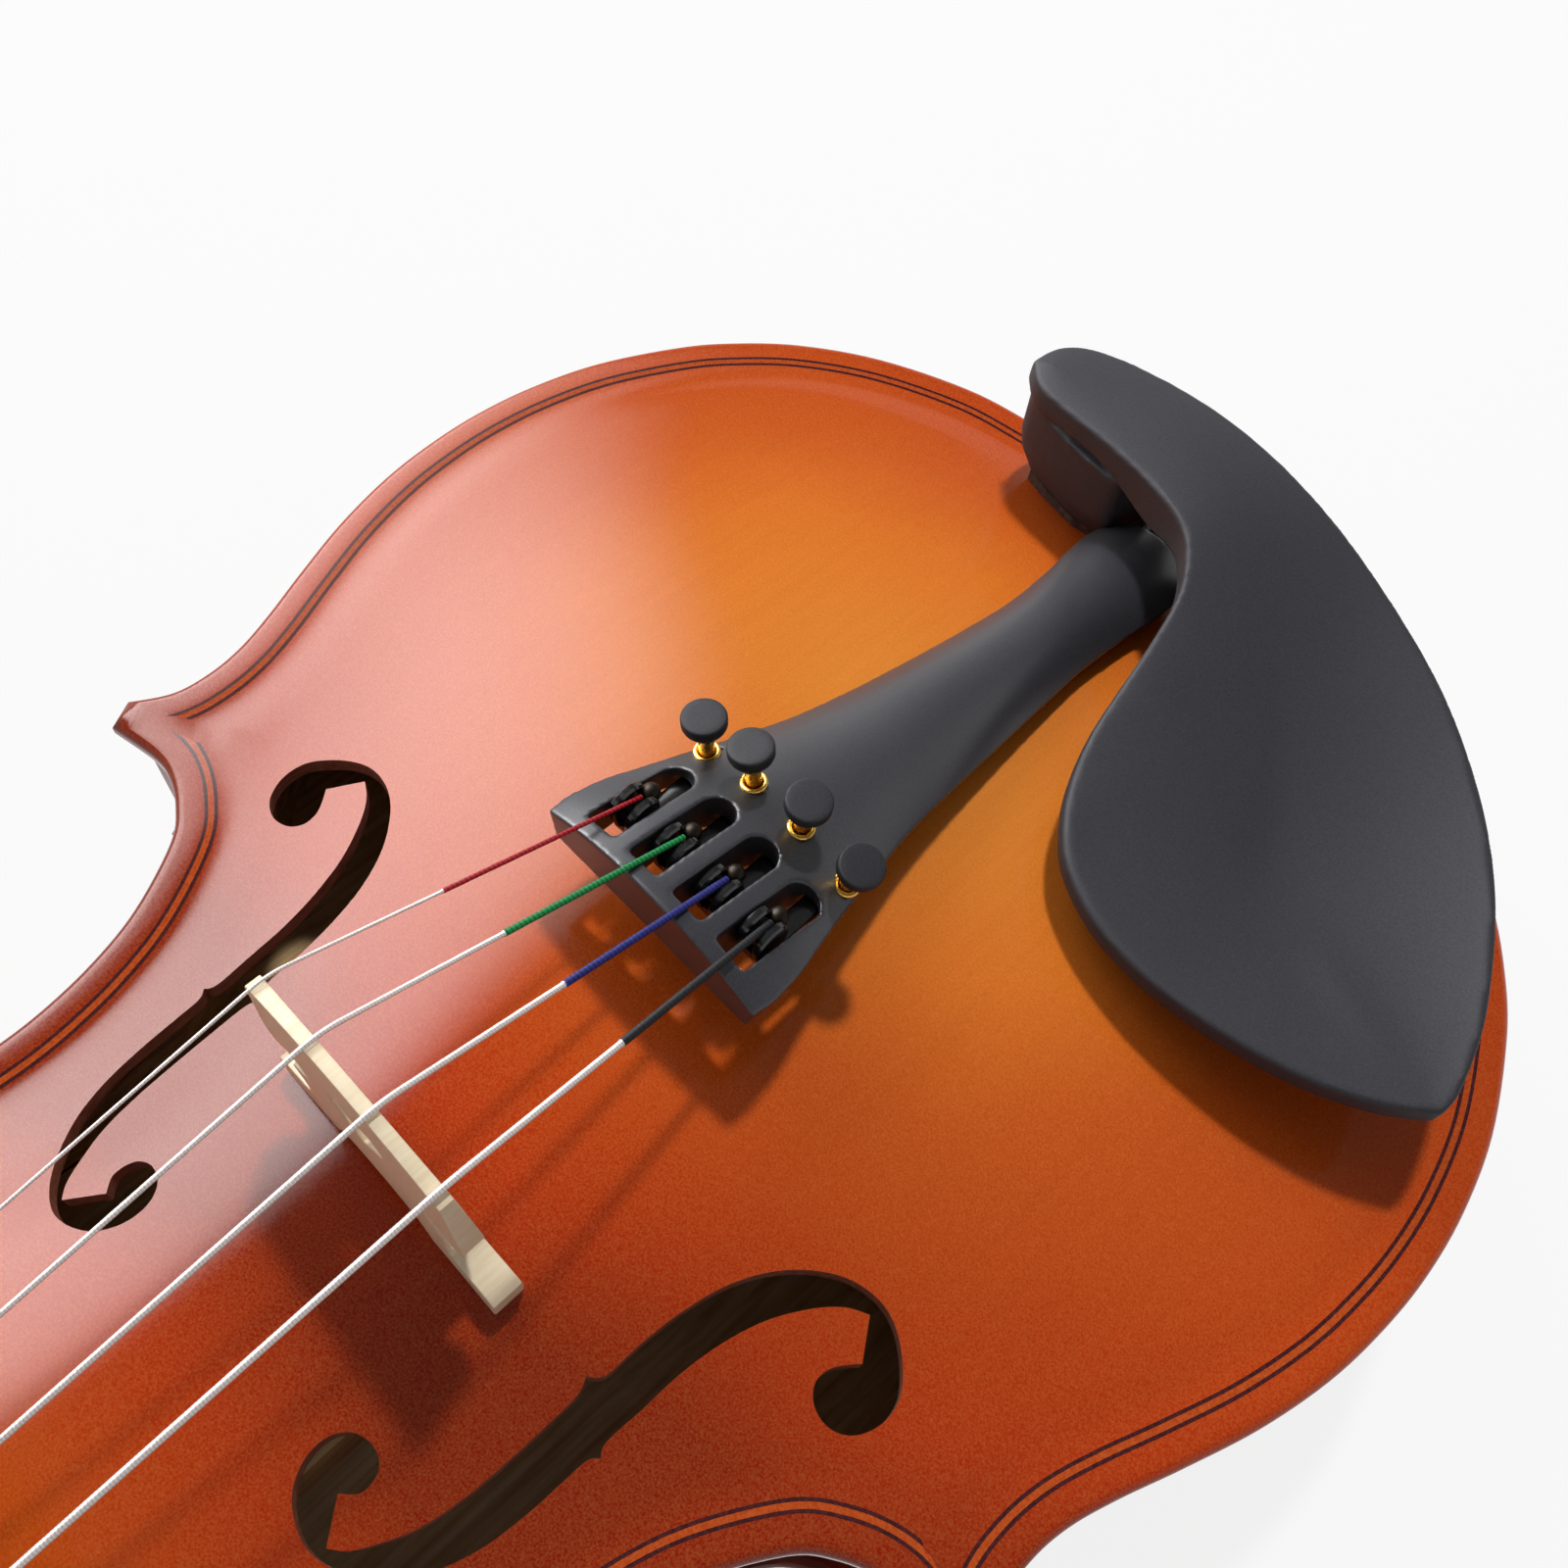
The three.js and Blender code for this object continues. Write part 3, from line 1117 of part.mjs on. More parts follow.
// Strings: from the fork over the bridge and the nut to the peg, each ending beside its winding.
// The winding runs from there to just inside the cheek on the side of the peg's thumb piece.
const windingRadius = (k) => pegRadiusThick + fitGap + stringRadii[k];
const windingPitch = (k) => 2 * stringRadii[k] + windingGap;
const windingEnd = (k) => headHalf(pegDistances[k]) - cheekThickness - fitGap - stringRadii[k];
const windingLane = (k) => windingEnd(k) - (windingTurns + 1) * windingPitch(k);
for (let k = 0; k < stringNames.length; k += 1) {
  const radius = stringRadii[k];
  const lift = radius + stringLift;
  const ball = ballCentre(k);
  const bridgeX = (k - 1.5) * stringSpacingBridge;
  const nutX = (k - 1.5) * stringSpacingNut;
  const overBridge = place(bridgeX, 0, bridgeTopAt(bridgeX) + lift + stringLift / 2);
  const overNut = place(nutX, nutY + nutLength / 2, crownHeight(nutX, nutY) + nutLift + lift + stringLift);
  const start = ball.clone().lerp(overBridge, (ballRadius + fitGap) / ball.distanceTo(overBridge));
  const laneX = pegSides[k] * windingLane(k);
  const wound = windingRadius(k);
  const around = (angle) =>
    headPlace(laneX, pegDistances[k] + wound * Math.cos(angle), -pegDrop + wound * Math.sin(angle));
  const path = new THREE.CurvePath();
  const corners = [start, overBridge, overNut, around(1.75), around(1.1), around(0.5)];
  let from = corners[0];
  for (let i = 1; i + 1 < corners.length; i += 1) {
    const [before, at, after] = [corners[i - 1], corners[i], corners[i + 1]];
    const near = (other) => Math.min(stringBend, at.distanceTo(other) / 2.2);
    const enter = at.clone().lerp(before, near(before) / at.distanceTo(before));
    const leave = at.clone().lerp(after, near(after) / at.distanceTo(after));
    path.add(new THREE.LineCurve3(from, enter));
    path.add(new THREE.QuadraticBezierCurve3(enter, at, leave));
    from = leave;
  }
  path.add(new THREE.LineCurve3(from, corners.at(-1)));
  addPiece(stringNames[k], makeCordMesh(path, radius), k === 3 ? steel : nickel);
}

// A cord's mesh from the ends and the bends of its path, so that straight stretches cost few faces.
function makeCordMesh(path, radius) {
  const stations = [];
  for (const curve of path.curves) {
    const steps = curve.isLineCurve3 ? 1 : 3;
    for (let i = 0; i < steps; i += 1) stations.push(curve.getPoint(i / steps));
  }
  stations.push(path.curves.at(-1).getPoint(1));
  return sweep(stations, radius, stringSides);
}

// A tube through stations, its section carried along without twisting.
function sweep(stations, radius, sides) {
  const final = stations.length - 1;
  const tangent = (i) =>
    stations[Math.min(i + 1, final)].clone().sub(stations[Math.max(i - 1, 0)]).normalize();
  let across = place(0, 0, 1).cross(tangent(0));
  if (across.length() < 0.1) across = place(1, 0, 0).cross(tangent(0));
  across.normalize();
  const loops = stations.map((at, i) => {
    const along = tangent(i);
    across = across.clone().addScaledVector(along, -across.dot(along)).normalize();
    const up = along.clone().cross(across);
    const loop = [];
    for (let j = 0; j < sides; j += 1) {
      const angle = (2 * Math.PI * j) / sides;
      const [side, rise] = [radius * Math.cos(angle), radius * Math.sin(angle)];
      loop.push(at.clone().addScaledVector(across, side).addScaledVector(up, rise));
    }
    return loop;
  });
  return skin(loops);
}

// Windings: each string's turns round its peg, one unbroken tube.
for (let k = 0; k < stringNames.length; k += 1) {
  const radius = stringRadii[k];
  const pitch = windingPitch(k);
  const first = windingLane(k) + pitch;
  const count = windingTurns * windingSteps;
  const wound = windingRadius(k);
  const stations = [];
  for (let i = 0; i <= count; i += 1) {
    const angle = (2 * Math.PI * i) / windingSteps;
    const along = pegSides[k] * (first + (pitch * i) / windingSteps);
    stations.push(place(along, wound * Math.cos(angle), wound * Math.sin(angle)));
  }
  let least = Infinity;
  for (let i = 0; i <= count; i += 1) {
    for (let j = i + windingSteps / 2; j <= count; j += 1) {
      least = Math.min(least, stations[i].distanceTo(stations[j]));
    }
  }
  console.log(`${stringNames[k]} winding: least gap to itself ${(least - 2 * radius).toFixed(2)} mm`);
  const turns = sweep(stations, radius, windingSides);
  const winding = addPiece(`${stringNames[k]}_winding`, turns, k === 3 ? steel : nickel);
  winding.position.copy(pegCentre(k));
}

// Saddle, end button and tailgut.
const saddleLow = topJoint + glueGap;
const saddleHigh = edgeTop + saddleRise;
const saddleSide = [
  point(bottomY - glueGap, saddleLow),
  point(bottomY + saddleDepth, saddleLow),
  point(bottomY + saddleDepth, edgeTop + saddleStep),
  point(bottomY + saddleDepth * 0.6, saddleHigh - saddleStep),
  point(bottomY + saddleDepth * 0.3, saddleHigh),
  point(bottomY + saddleDepth * 0.08, saddleHigh - saddleRearFall),
  point(bottomY - glueGap, saddleHigh - saddleRearDepth),
];
const saddleEndHeight = (z) => Math.min(z, edgeTop + saddleEndLift + (z - edgeTop) * 0.2);
const saddleLoops = [-1, -0.6, 0.6, 1].map((share) => saddleSide.map((at) => {
  const height = Math.abs(share) === 1 ? saddleEndHeight(at.y) : at.y;
  return place(share * saddleHalfWidth, at.x, height);
}));
addPiece('saddle', skin(saddleLoops), ebony);

const ribOuterY = bottomY + plateOverhang;
const grooveOut = bottomY - fitGap;
const grooveStart = ribOuterY - grooveOut;
const headFoot = grooveStart + buttonGrooveLength;
const buttonProfile = [
  [0, -blockDepth],
  [buttonShaftRadius * 0.85, -blockDepth],
  [buttonShaftRadius, -glueGap],
  [buttonGrooveRadius + buttonGrooveStep, -glueGap],
  [buttonGrooveRadius + buttonGrooveStep, grooveStart - buttonGrooveStep],
  [buttonGrooveRadius, grooveStart],
  [buttonGrooveRadius, headFoot - buttonGrooveStep],
  [buttonHeadRadius * 0.8, headFoot],
  [buttonHeadRadius, headFoot + buttonHeadFlare],
  [buttonHeadRadius * 0.95, headFoot + buttonHeadLength * 0.6],
  [buttonHeadRadius * 0.5, headFoot + buttonHeadLength],
  [0, headFoot + buttonHeadLength],
];
const endButton = lathe(buttonProfile.map(([r, h]) => [r, h + glueGap * 2]), 14).rotateX(Math.PI);
addPiece('end_button', indexed(endButton), ebony).position.set(0, ribOuterY, buttonHeight);

// The tailgut leaves the tailpiece, crosses the saddle and loops under the end button.
const gutY = grooveOut - glueGap * 2 - buttonGrooveLength / 2;
const gutOverSaddle = saddleHigh + tailgutRadius + fitGap;
const gutHalf = [
  place(tailgutHalfSpan, tailgutEntry.y - tailgutOverrun, tailgutEntry.z),
  place(tailgutHalfSpan, tailY(1) - tailgutOverrun, tailgutExitZ),
  place(tailgutHalfSpan * 1.15, bottomY + saddleDepth * 0.45, gutOverSaddle),
  place(tailgutHalfSpan * 1.25, bottomY + saddleDepth * 0.2, gutOverSaddle),
  place(tailgutHalfSpan * 1.3, bottomY - tailgutOverrun, gutOverSaddle - tailgutFalls[0]),
  place(tailgutHalfSpan * 1.35, gutY, gutOverSaddle - tailgutFalls[1]),
  place(tailgutHalfSpan * 1.5, gutY, gutOverSaddle - tailgutFalls[2]),
];
const gutLoopRadius = buttonGrooveRadius + tailgutRadius + fitGap;
const gutLoop = [];
const gutLoopSteps = 8;
for (let i = 0; i <= gutLoopSteps; i += 1) {
  const angle = -Math.PI * (i / gutLoopSteps);
  gutLoop.push(place(gutLoopRadius * Math.cos(angle), gutY, buttonHeight + gutLoopRadius * Math.sin(angle)));
}
const mirroredGut = [...gutHalf].reverse().map((at) => place(-at.x, at.y, at.z));
addPiece('tailgut', sweep([...gutHalf, ...gutLoop, ...mirroredGut], tailgutRadius, stringSides), gutBlack);

// Chin rest: a dished plate reaching from the bass side over the tailpiece, on two feet.
// Its outline and heights are shares of its own length, depth and height, from its treble rear corner.
const chinRestCorner = place(chinRestCornerX, bottomY + chinRestCornerInset, edgeTop);
const chinRearShares = [
  [0, 0.171, 1.13], [0.008, 0.098, 1.13], [0.049, 0.045, 1.14], [0.131, 0.014, 1.17], [0.23, 0.002, 1.2],
  [0.336, 0.008, 1.19], [0.451, 0.038, 1.15], [0.566, 0.091, 1.09], [0.672, 0.162, 1.05], [0.754, 0.241, 1.02],
  [0.832, 0.343, 1], [0.893, 0.451, 0.98], [0.938, 0.56, 0.96], [0.975, 0.674, 0.93], [0.997, 0.79, 0.89],
  [0.996, 0.838, 0.87],
];
const chinFrontShares = [
  [0, 0.171, 1.13], [0.037, 0.217, 1.14], [0.094, 0.234, 1.17], [0.168, 0.246, 1.21], [0.25, 0.267, 1.24],
  [0.316, 0.298, 1.25], [0.352, 0.34, 1.22], [0.383, 0.412, 1.15], [0.402, 0.52, 1.05], [0.416, 0.629, 0.97],
  [0.43, 0.725, 0.92], [0.451, 0.81, 0.88], [0.479, 0.882, 0.85], [0.52, 0.942, 0.81], [0.586, 0.984, 0.78],
  [0.66, 0.998, 0.77], [0.738, 0.99, 0.77], [0.824, 0.964, 0.78], [0.889, 0.933, 0.8], [0.951, 0.888, 0.84],
  [0.996, 0.838, 0.87],
];
const chinSpineShares = [
  [0.05, 0.15, 1.19], [0.1, 0.14, 1.21], [0.27, 0.15, 1.28], [0.4, 0.21, 1.2], [0.55, 0.4, 0.92],
  [0.66, 0.6, 0.72], [0.76, 0.72, 0.7], [0.85, 0.77, 0.76], [0.9, 0.8, 0.8],
];
const chinPlace = ([x, y, z]) => place(
  chinRestCorner.x - x * chinRestLength,
  chinRestCorner.y + y * chinRestDepth,
  edgeTop + z * chinRestHeight,
);
const chinSteps = 20;
const chinEdge = (shares) =>
  new THREE.CatmullRomCurve3(shares.map(chinPlace), false, 'catmullrom').getPoints(chinSteps);
const backToStart = (path) => [...path].reverse().slice(1, -1);
const chinOutline = [...chinEdge(chinRearShares), ...backToStart(chinEdge(chinFrontShares))];
const chinMiddle = chinEdge(chinSpineShares);
const chinSpine = [...chinMiddle, ...backToStart(chinMiddle)];
const chinLevels = [0, 0.06, 0.2, 0.42, 0.7, 1];
const chinRim = (level) => Math.max(0, 1 - level / chinLevels[1]) + (level === chinLevels[1] ? 1 / 5 : 0);
const chinTop = (level, i) => chinOutline[i].z + (chinSpine[i].z - chinOutline[i].z) * (1 - (1 - level) ** 2);
const chinThick = (level) => chinRestThickness * (0.6 + 0.4 * Math.min(level / chinLevels[3], 1));
const footTop = edgeTop + chinRestHeight * 0.91;
const footBottom = edgeTop + 2 * corkThickness;
const footShares = {
  treble: [
    [0.032, 0.135], [0.045, 0.177], [0.086, 0.195], [0.152, 0.212], [0.201, 0.202], [0.213, 0.159],
    [0.221, 0.117], [0.221, 0.084], [0.032, 0.084],
  ],
  bass: [
    [0.385, 0.084], [0.385, 0.235], [0.43, 0.26], [0.57, 0.26], [0.615, 0.225], [0.605, 0.175],
    [0.56, 0.125], [0.5, 0.084],
  ],
};
function footLoop(shares, z, grow) {
  const at = shares.map(([x, y]) => chinPlace([x, y, 0]));
  const middle = at.reduce((sum, each) => sum.add(each), place(0, 0, 0)).divideScalar(at.length);
  for (const each of at) each.sub(middle).multiplyScalar(grow).add(middle).setZ(z);
  return at;
}
const footRodY = bottomY - clampOffset;
function makeChinRest() {
  const over = (x, y, level, i) => chinTop(level, i) - chinRimDrop * chinRim(level);
  const under = (x, y, level, i) => chinTop(level, i) - chinThick(level) + chinRimRaise * chinRim(level);
  let solid = solidOf(carve(chinOutline, chinSpine, chinLevels, over, under));
  for (const shares of Object.values(footShares)) {
    const footMiddle = (footTop + footBottom) / 2;
    const foot = [[footBottom, 0.96], [footBottom + chinFootBevel, 1], [footMiddle, 1.02], [footTop, 1.06]];
    solid = solid.add(solidOf(skin(foot.map(([z, grow]) => footLoop(shares, z, grow)))));
  }
  for (const side of [-1, 1]) {
    const x = side * clampHalfSpan;
    const half = clampBarWidth / 2 + fitGap;
    solid = solid.subtract(solidOf(box(
      place(x - half, footRodY, footBottom - cutOverrun),
      place(x + half, clampArmEnd + fitGap, footBottom + clampBarHeight + 2 * fitGap),
    )));
  }
  return geometryOf(solid);
}
const clampArmEnd = bottomY + clampArmReach;
addPiece('chin_rest', makeChinRest(), blackened);

// Corks: under each foot, cut to the belly, and on the lower bracket.
const raisedBelly = solidOf(bellyGeometry).translate(0, 0, glueGap);
for (const [side, shares] of Object.entries(footShares)) {
  const block = solidOf(skin([edgeTop, footBottom - glueGap].map((z) => footLoop(shares, z, 0.93))));
  addPiece(`chin_rest_cork_${side}`, geometryOf(block.subtract(raisedBelly)), cork);
}

// The clamp: brackets with threaded rods, drawn together by two barrels.
function makeBracket(low, high, armEnd, rodFrom, rodTo) {
  const half = clampBarWidth / 2;
  let solid = solidOf(box(
    place(-clampHalfSpan - half, footRodY - half, low),
    place(clampHalfSpan + half, footRodY + half, high),
  ));
  for (const side of [-1, 1]) {
    const x = side * clampHalfSpan;
    solid = solid.add(solidOf(box(place(x - half, footRodY, low), place(x + half, armEnd, high))));
    const rod = bar(place(x, footRodY, rodFrom), place(x, footRodY, rodTo), clampRodRadius, 12);
    solid = solid.add(solidOf(rod));
  }
  return solid;
}
const upperLow = footBottom + fitGap;
const barrelTop = barrelBottom + barrelLength;
const barrelMiddle = (barrelBottom + barrelTop) / 2;
const upperRodFoot = barrelMiddle + clampBarHalf;
const upperHigh = upperLow + clampBarHeight;
const upperBracket = makeBracket(upperLow, upperHigh, clampArmEnd, upperRodFoot, upperLow + clampRodSink);
addPiece('clamp_upper_bracket', geometryOf(upperBracket), nickel);
const lowerHigh = backJoint - plateEdge - corkThickness - glueGap * 2;
const lowerLow = lowerHigh - clampBarHeight;
const lowerFoot = box(
  place(-clampFootHalf, bottomY + clampFootInset, lowerLow),
  place(clampFootHalf, bottomY + 2 * clampArmHalf, lowerHigh),
);
const lowerArmEnd = bottomY + clampArmHalf;
const lowerRodTop = barrelMiddle - clampBarHalf;
const lowerBracket = makeBracket(lowerLow, lowerHigh, lowerArmEnd, lowerHigh - clampRodSink, lowerRodTop);
addPiece('clamp_lower_bracket', geometryOf(lowerBracket.add(solidOf(lowerFoot))), nickel);
const corkHigh = backJoint - plateEdge + cutOverrun;
const clampCork = solidOf(box(
  place(-clampFootHalf + clampCorkInset, bottomY + clampFootInset + clampCorkInset, lowerHigh + glueGap),
  place(clampFootHalf - clampCorkInset, bottomY + 2 * clampArmHalf - clampCorkInset, corkHigh),
));
addPiece('clamp_cork', geometryOf(clampCork.subtract(solidOf(backGeometry).translate(0, 0, -glueGap))), cork);
for (const [side, x] of [['bass', -clampHalfSpan], ['treble', clampHalfSpan]]) {
  const low = place(x, footRodY, barrelBottom);
  const high = place(x, footRodY, barrelTop);
  const boreLow = place(x, footRodY, barrelBottom - cutOverrun);
  const boreHigh = place(x, footRodY, barrelTop + cutOverrun);
  const bore = bar(boreLow, boreHigh, barrelBore, 12);
  const holeReach = 2 * barrelRadius;
  const holeFrom = place(x - holeReach, footRodY, barrelMiddle);
  const holeTo = place(x + holeReach, footRodY, barrelMiddle);
  const hole = bar(holeFrom, holeTo, barrelHole, 8);
  const barrel = solidOf(bar(low, high, barrelRadius, 14)).subtract(solidOf(bore)).subtract(solidOf(hole));
  addPiece(`clamp_barrel_${side}`, geometryOf(barrel), nickel);
}

export default violin;
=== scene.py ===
# A violin on its back, seen over the tailpiece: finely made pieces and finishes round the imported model.
# Places are written in millimetres and made metres when a mesh is built.
import json
import math

import bmesh
import bpy
import numpy as np
from mathutils import Matrix, Vector


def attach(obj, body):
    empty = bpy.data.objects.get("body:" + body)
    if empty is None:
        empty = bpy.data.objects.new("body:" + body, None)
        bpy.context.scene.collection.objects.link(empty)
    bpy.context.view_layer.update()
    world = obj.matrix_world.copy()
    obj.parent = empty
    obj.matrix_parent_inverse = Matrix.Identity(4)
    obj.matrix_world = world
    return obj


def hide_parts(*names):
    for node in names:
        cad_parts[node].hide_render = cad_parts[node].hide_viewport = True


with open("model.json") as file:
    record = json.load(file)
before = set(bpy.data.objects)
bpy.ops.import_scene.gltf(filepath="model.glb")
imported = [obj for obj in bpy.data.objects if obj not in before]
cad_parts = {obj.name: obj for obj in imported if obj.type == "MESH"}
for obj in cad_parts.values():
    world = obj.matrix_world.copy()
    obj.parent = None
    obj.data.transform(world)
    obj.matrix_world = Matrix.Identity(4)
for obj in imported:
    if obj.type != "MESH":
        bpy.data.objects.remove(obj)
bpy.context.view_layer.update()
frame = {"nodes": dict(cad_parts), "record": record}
bodyOf = {node: body for body, members in frame["record"]["behaviour"]["bodies"].items() for node in members}
scene = bpy.context.scene

# Camera
cameraSettings = {
    "place": (-58.74, 13.88, 253.27),
    "right": (-0.7008, -0.7067, 0.0968),
    "down": (-0.649, 0.5754, -0.4977),
    "forward": (0.296, -0.4116, -0.8619),
    "lens": 34.64,
    "sensor": 36,
    "shift": (-0.0103, -0.0049),
    "clip": (0.005, 50),
}


def makeCamera(s):
    data = bpy.data.cameras.new("camera")
    data.lens = s["lens"]
    data.sensor_width = s["sensor"]
    data.sensor_fit = "HORIZONTAL"
    data.shift_x, data.shift_y = s["shift"]
    data.clip_start, data.clip_end = s["clip"]
    camera = bpy.data.objects.new("camera", data)
    scene.collection.objects.link(camera)
    axes = Matrix((s["right"], [-v for v in s["down"]], [-v for v in s["forward"]])).transposed()
    turn = axes.to_quaternion().to_matrix().to_4x4()
    camera.matrix_world = Matrix.Translation(Vector(s["place"]) / 1000) @ turn
    scene.camera = camera


makeCamera(cameraSettings)
print("camera set")


# Helpers for meshes
def pickOnly(*pieces):
    bpy.ops.object.select_all(action="DESELECT")
    for piece in pieces:
        piece.select_set(True)
    bpy.context.view_layer.objects.active = pieces[0]


def meshPiece(name, points, faces, marks=None):
    mesh = bpy.data.meshes.new(name)
    places = (np.asarray(points, float) / 1000).tolist()
    mesh.from_pydata(places, [], [list(map(int, face)) for face in faces])
    if marks is not None:
        mesh.polygons.foreach_set("material_index", marks)
    mesh.update()
    piece = bpy.data.objects.new(name, mesh)
    scene.collection.objects.link(piece)
    return piece


def tidyMesh(piece, merge=0.001, outward=True):
    # Merges doubled points and turns the faces outward. The distance is in millimetres.
    work = bmesh.new()
    work.from_mesh(piece.data)
    bmesh.ops.remove_doubles(work, verts=work.verts, dist=merge / 1000)
    bmesh.ops.dissolve_degenerate(work, edges=work.edges, dist=1e-8)
    if outward:
        bmesh.ops.recalc_face_normals(work, faces=work.faces)
    work.to_mesh(piece.data)
    work.free()
    piece.data.update()
    return piece


def applyModifier(piece, kind, **settings):
    pickOnly(piece)
    bpy.ops.object.modifier_add(type=kind)
    modifier = piece.modifiers[-1]
    for key, value in settings.items():
        setattr(modifier, key, value)
    bpy.ops.object.modifier_apply(modifier=modifier.name)
    return piece


def joinInto(piece, other, how):
    # Cuts or adds another closed mesh, which is then deleted.
    applyModifier(piece, "BOOLEAN", operation=how, solver="EXACT", object=other)
    bpy.data.objects.remove(other)
    return piece


def cutOut(piece, cutter):
    return joinInto(piece, cutter, "DIFFERENCE")


def soften(piece, voxel, rounds):
    # Remade as one even skin, with its hard edges worn a little.
    applyModifier(piece, "REMESH", mode="VOXEL", voxel_size=voxel / 1000, adaptivity=0, use_smooth_shade=True)
    return applyModifier(piece, "SMOOTH", factor=0.5, iterations=rounds)


def smoothShade(piece, degrees=35):
    pickOnly(piece)
    bpy.ops.object.shade_smooth_by_angle(angle=math.radians(degrees))
    return piece


def copyNode(node, name):
    # A merged copy of a node's mesh, to be worked on. The node itself is left alone.
    mesh = frame["nodes"][node].data.copy()
    mesh.materials.clear()
    piece = bpy.data.objects.new(name, mesh)
    scene.collection.objects.link(piece)
    if mesh.has_custom_normals:
        pickOnly(piece)
        bpy.ops.mesh.customdata_custom_splitnormals_clear()
    return tidyMesh(piece, outward=False)


def settle(piece, body, looks, slot, *nodes):
    # Gives a piece its finishes and the body it rides on, and hides the nodes it stands for. Its slot is not
    # used.
    marks = np.zeros(len(piece.data.polygons), np.int32)
    piece.data.polygons.foreach_get("material_index", marks)
    piece.data.materials.clear()
    for look in looks:
        piece.data.materials.append(finishes[look])
    piece.data.polygons.foreach_set("material_index", marks)
    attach(piece, body)
    if nodes:
        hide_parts(*nodes)
    return piece


def loft(loops, capped=True):
    # Points and faces of closed loops joined one to the next.
    loops = [np.asarray(loop, float) for loop in loops]
    count = len(loops[0])
    faces = []
    for i in range(len(loops) - 1):
        for j in range(count):
            k = (j + 1) % count
            faces.append((i * count + j, i * count + k, (i + 1) * count + k, (i + 1) * count + j))
    if capped:
        faces.append(tuple(range(count))[::-1])
        faces.append(tuple(range((len(loops) - 1) * count, len(loops) * count)))
    return np.vstack(loops), faces


def loftPiece(name, loops):
    return tidyMesh(meshPiece(name, *loft(loops)))


def boxPiece(name, low, high):
    (x0, y0, z0), (x1, y1, z1) = low, high
    ring = [(x0, y0), (x1, y0), (x1, y1), (x0, y1)]
    return loftPiece(name, [[(x, y, z) for x, y in ring] for z in (z0, z1)])


def turned(name, rows, sides, foot=(0, 0, 0), axis=(0, 0, 1)):
    # A turned piece: rows of radius and height, spun about an axis from its foot.
    turn = Vector((0, 0, 1)).rotation_difference(Vector(axis)).to_matrix()
    loops = []
    for radius, height in rows:
        radius = max(radius, 0.001)
        loop = [Vector((radius * math.cos(a), radius * math.sin(a), height))
                for a in np.linspace(0, 2 * math.pi, sides, endpoint=False)]
        loops.append([turn @ at + Vector(foot) for at in loop])
    return tidyMesh(meshPiece(name, *loft(loops)), merge=0.004)


def sweepTube(name, stations, radii, sides, marks=None):
    # A tube through stations, its section carried along without twisting.
    final = len(stations) - 1
    across = None
    loops = []
    for i, (at, radius) in enumerate(zip(stations, radii)):
        along = (stations[min(i + 1, final)] - stations[max(i - 1, 0)]).normalized()
        if across is None:
            across = Vector((0, 0, 1)).cross(along)
            if across.length < 0.1:
                across = Vector((1, 0, 0)).cross(along)
        across = (across - along * across.dot(along)).normalized()
        up = along.cross(across)
        loops.append([at + across * (radius * math.cos(a)) + up * (radius * math.sin(a))
                      for a in np.linspace(0, 2 * math.pi, sides, endpoint=False)])
    faceMarks = None
    if marks is not None:
        faceMarks = [marks[i] for i in range(final) for j in range(sides)] + [marks[0], marks[-1]]
    return tidyMesh(meshPiece(name, *loft(loops), faceMarks), merge=0.0001)


def joined(name, pieces):
    pickOnly(*pieces)
    bpy.ops.object.join()
    piece = bpy.context.view_layer.objects.active
    piece.name = name
    piece.data.name = name
    return piece


# Helpers for shapes
def readTable(table, at):
    # A value read smoothly from rows of place and value.
    table = np.asarray(table, float)
    at = np.asarray(at, float)
    x, y = table[:, 0], table[:, 1]
    before = np.maximum(np.arange(len(x)) - 1, 0)
    after = np.minimum(np.arange(len(x)) + 1, len(x) - 1)
    slopes = (y[after] - y[before]) / (x[after] - x[before])
    i = np.clip(np.searchsorted(x, at, side="right") - 1, 0, len(x) - 2)
    width = x[i + 1] - x[i]
    t = (np.clip(at, x[0], x[-1]) - x[i]) / width
    rise = y[i + 1] - y[i]
    m0, m1 = slopes[i] * width, slopes[i + 1] * width
    return y[i] + m0 * t + (3 * rise - 2 * m0 - m1) * t ** 2 + (m0 + m1 - 2 * rise) * t ** 3


def splineThrough(knots, perSpan):
    # A smooth line through its knots, with the last knot kept.
    knots = np.asarray(knots, float)
    p0 = np.vstack([knots[:1], knots[:-2]])
    p1, p2 = knots[:-1], knots[1:]
    p3 = np.vstack([knots[2:], knots[-1:]])
    t = np.linspace(0, 1, perSpan, endpoint=False)[None, :, None]
    v0, v1 = ((p2 - p0) / 2)[:, None], ((p3 - p1) / 2)[:, None]
    a, b = p1[:, None], p2[:, None]
    line = (2 * a - 2 * b + v0 + v1) * t ** 3 + (3 * b - 3 * a - 2 * v0 - v1) * t ** 2 + v0 * t + a
    return np.vstack([line.reshape(-1, knots.shape[1]), knots[-1:]])


def smoothLoop(points, perSpan, sharpDegrees=50):
    # A closed line through its points, which keeps its sharp corners.
    points = np.asarray(points, float)
    count = len(points)
    into = points - np.roll(points, 1, 0)
    out = np.roll(points, -1, 0) - points
    turn = np.degrees(np.arctan2(into[:, 0] * out[:, 1] - into[:, 1] * out[:, 0], (into * out).sum(1)))
    sharp = [i for i in range(count) if abs(turn[i]) > sharpDegrees]
    if not sharp:
        wrapped = np.vstack([points[-2:], points, points[:3]])
        return splineThrough(wrapped, perSpan)[2 * perSpan:(2 + count) * perSpan]
    parts = []
    for a, b in zip(sharp, sharp[1:] + [sharp[0] + count]):
        knots = points[[i % count for i in range(a, b + 1)]]
        parts.append(splineThrough(knots, perSpan)[:-1])
    return np.vstack(parts)


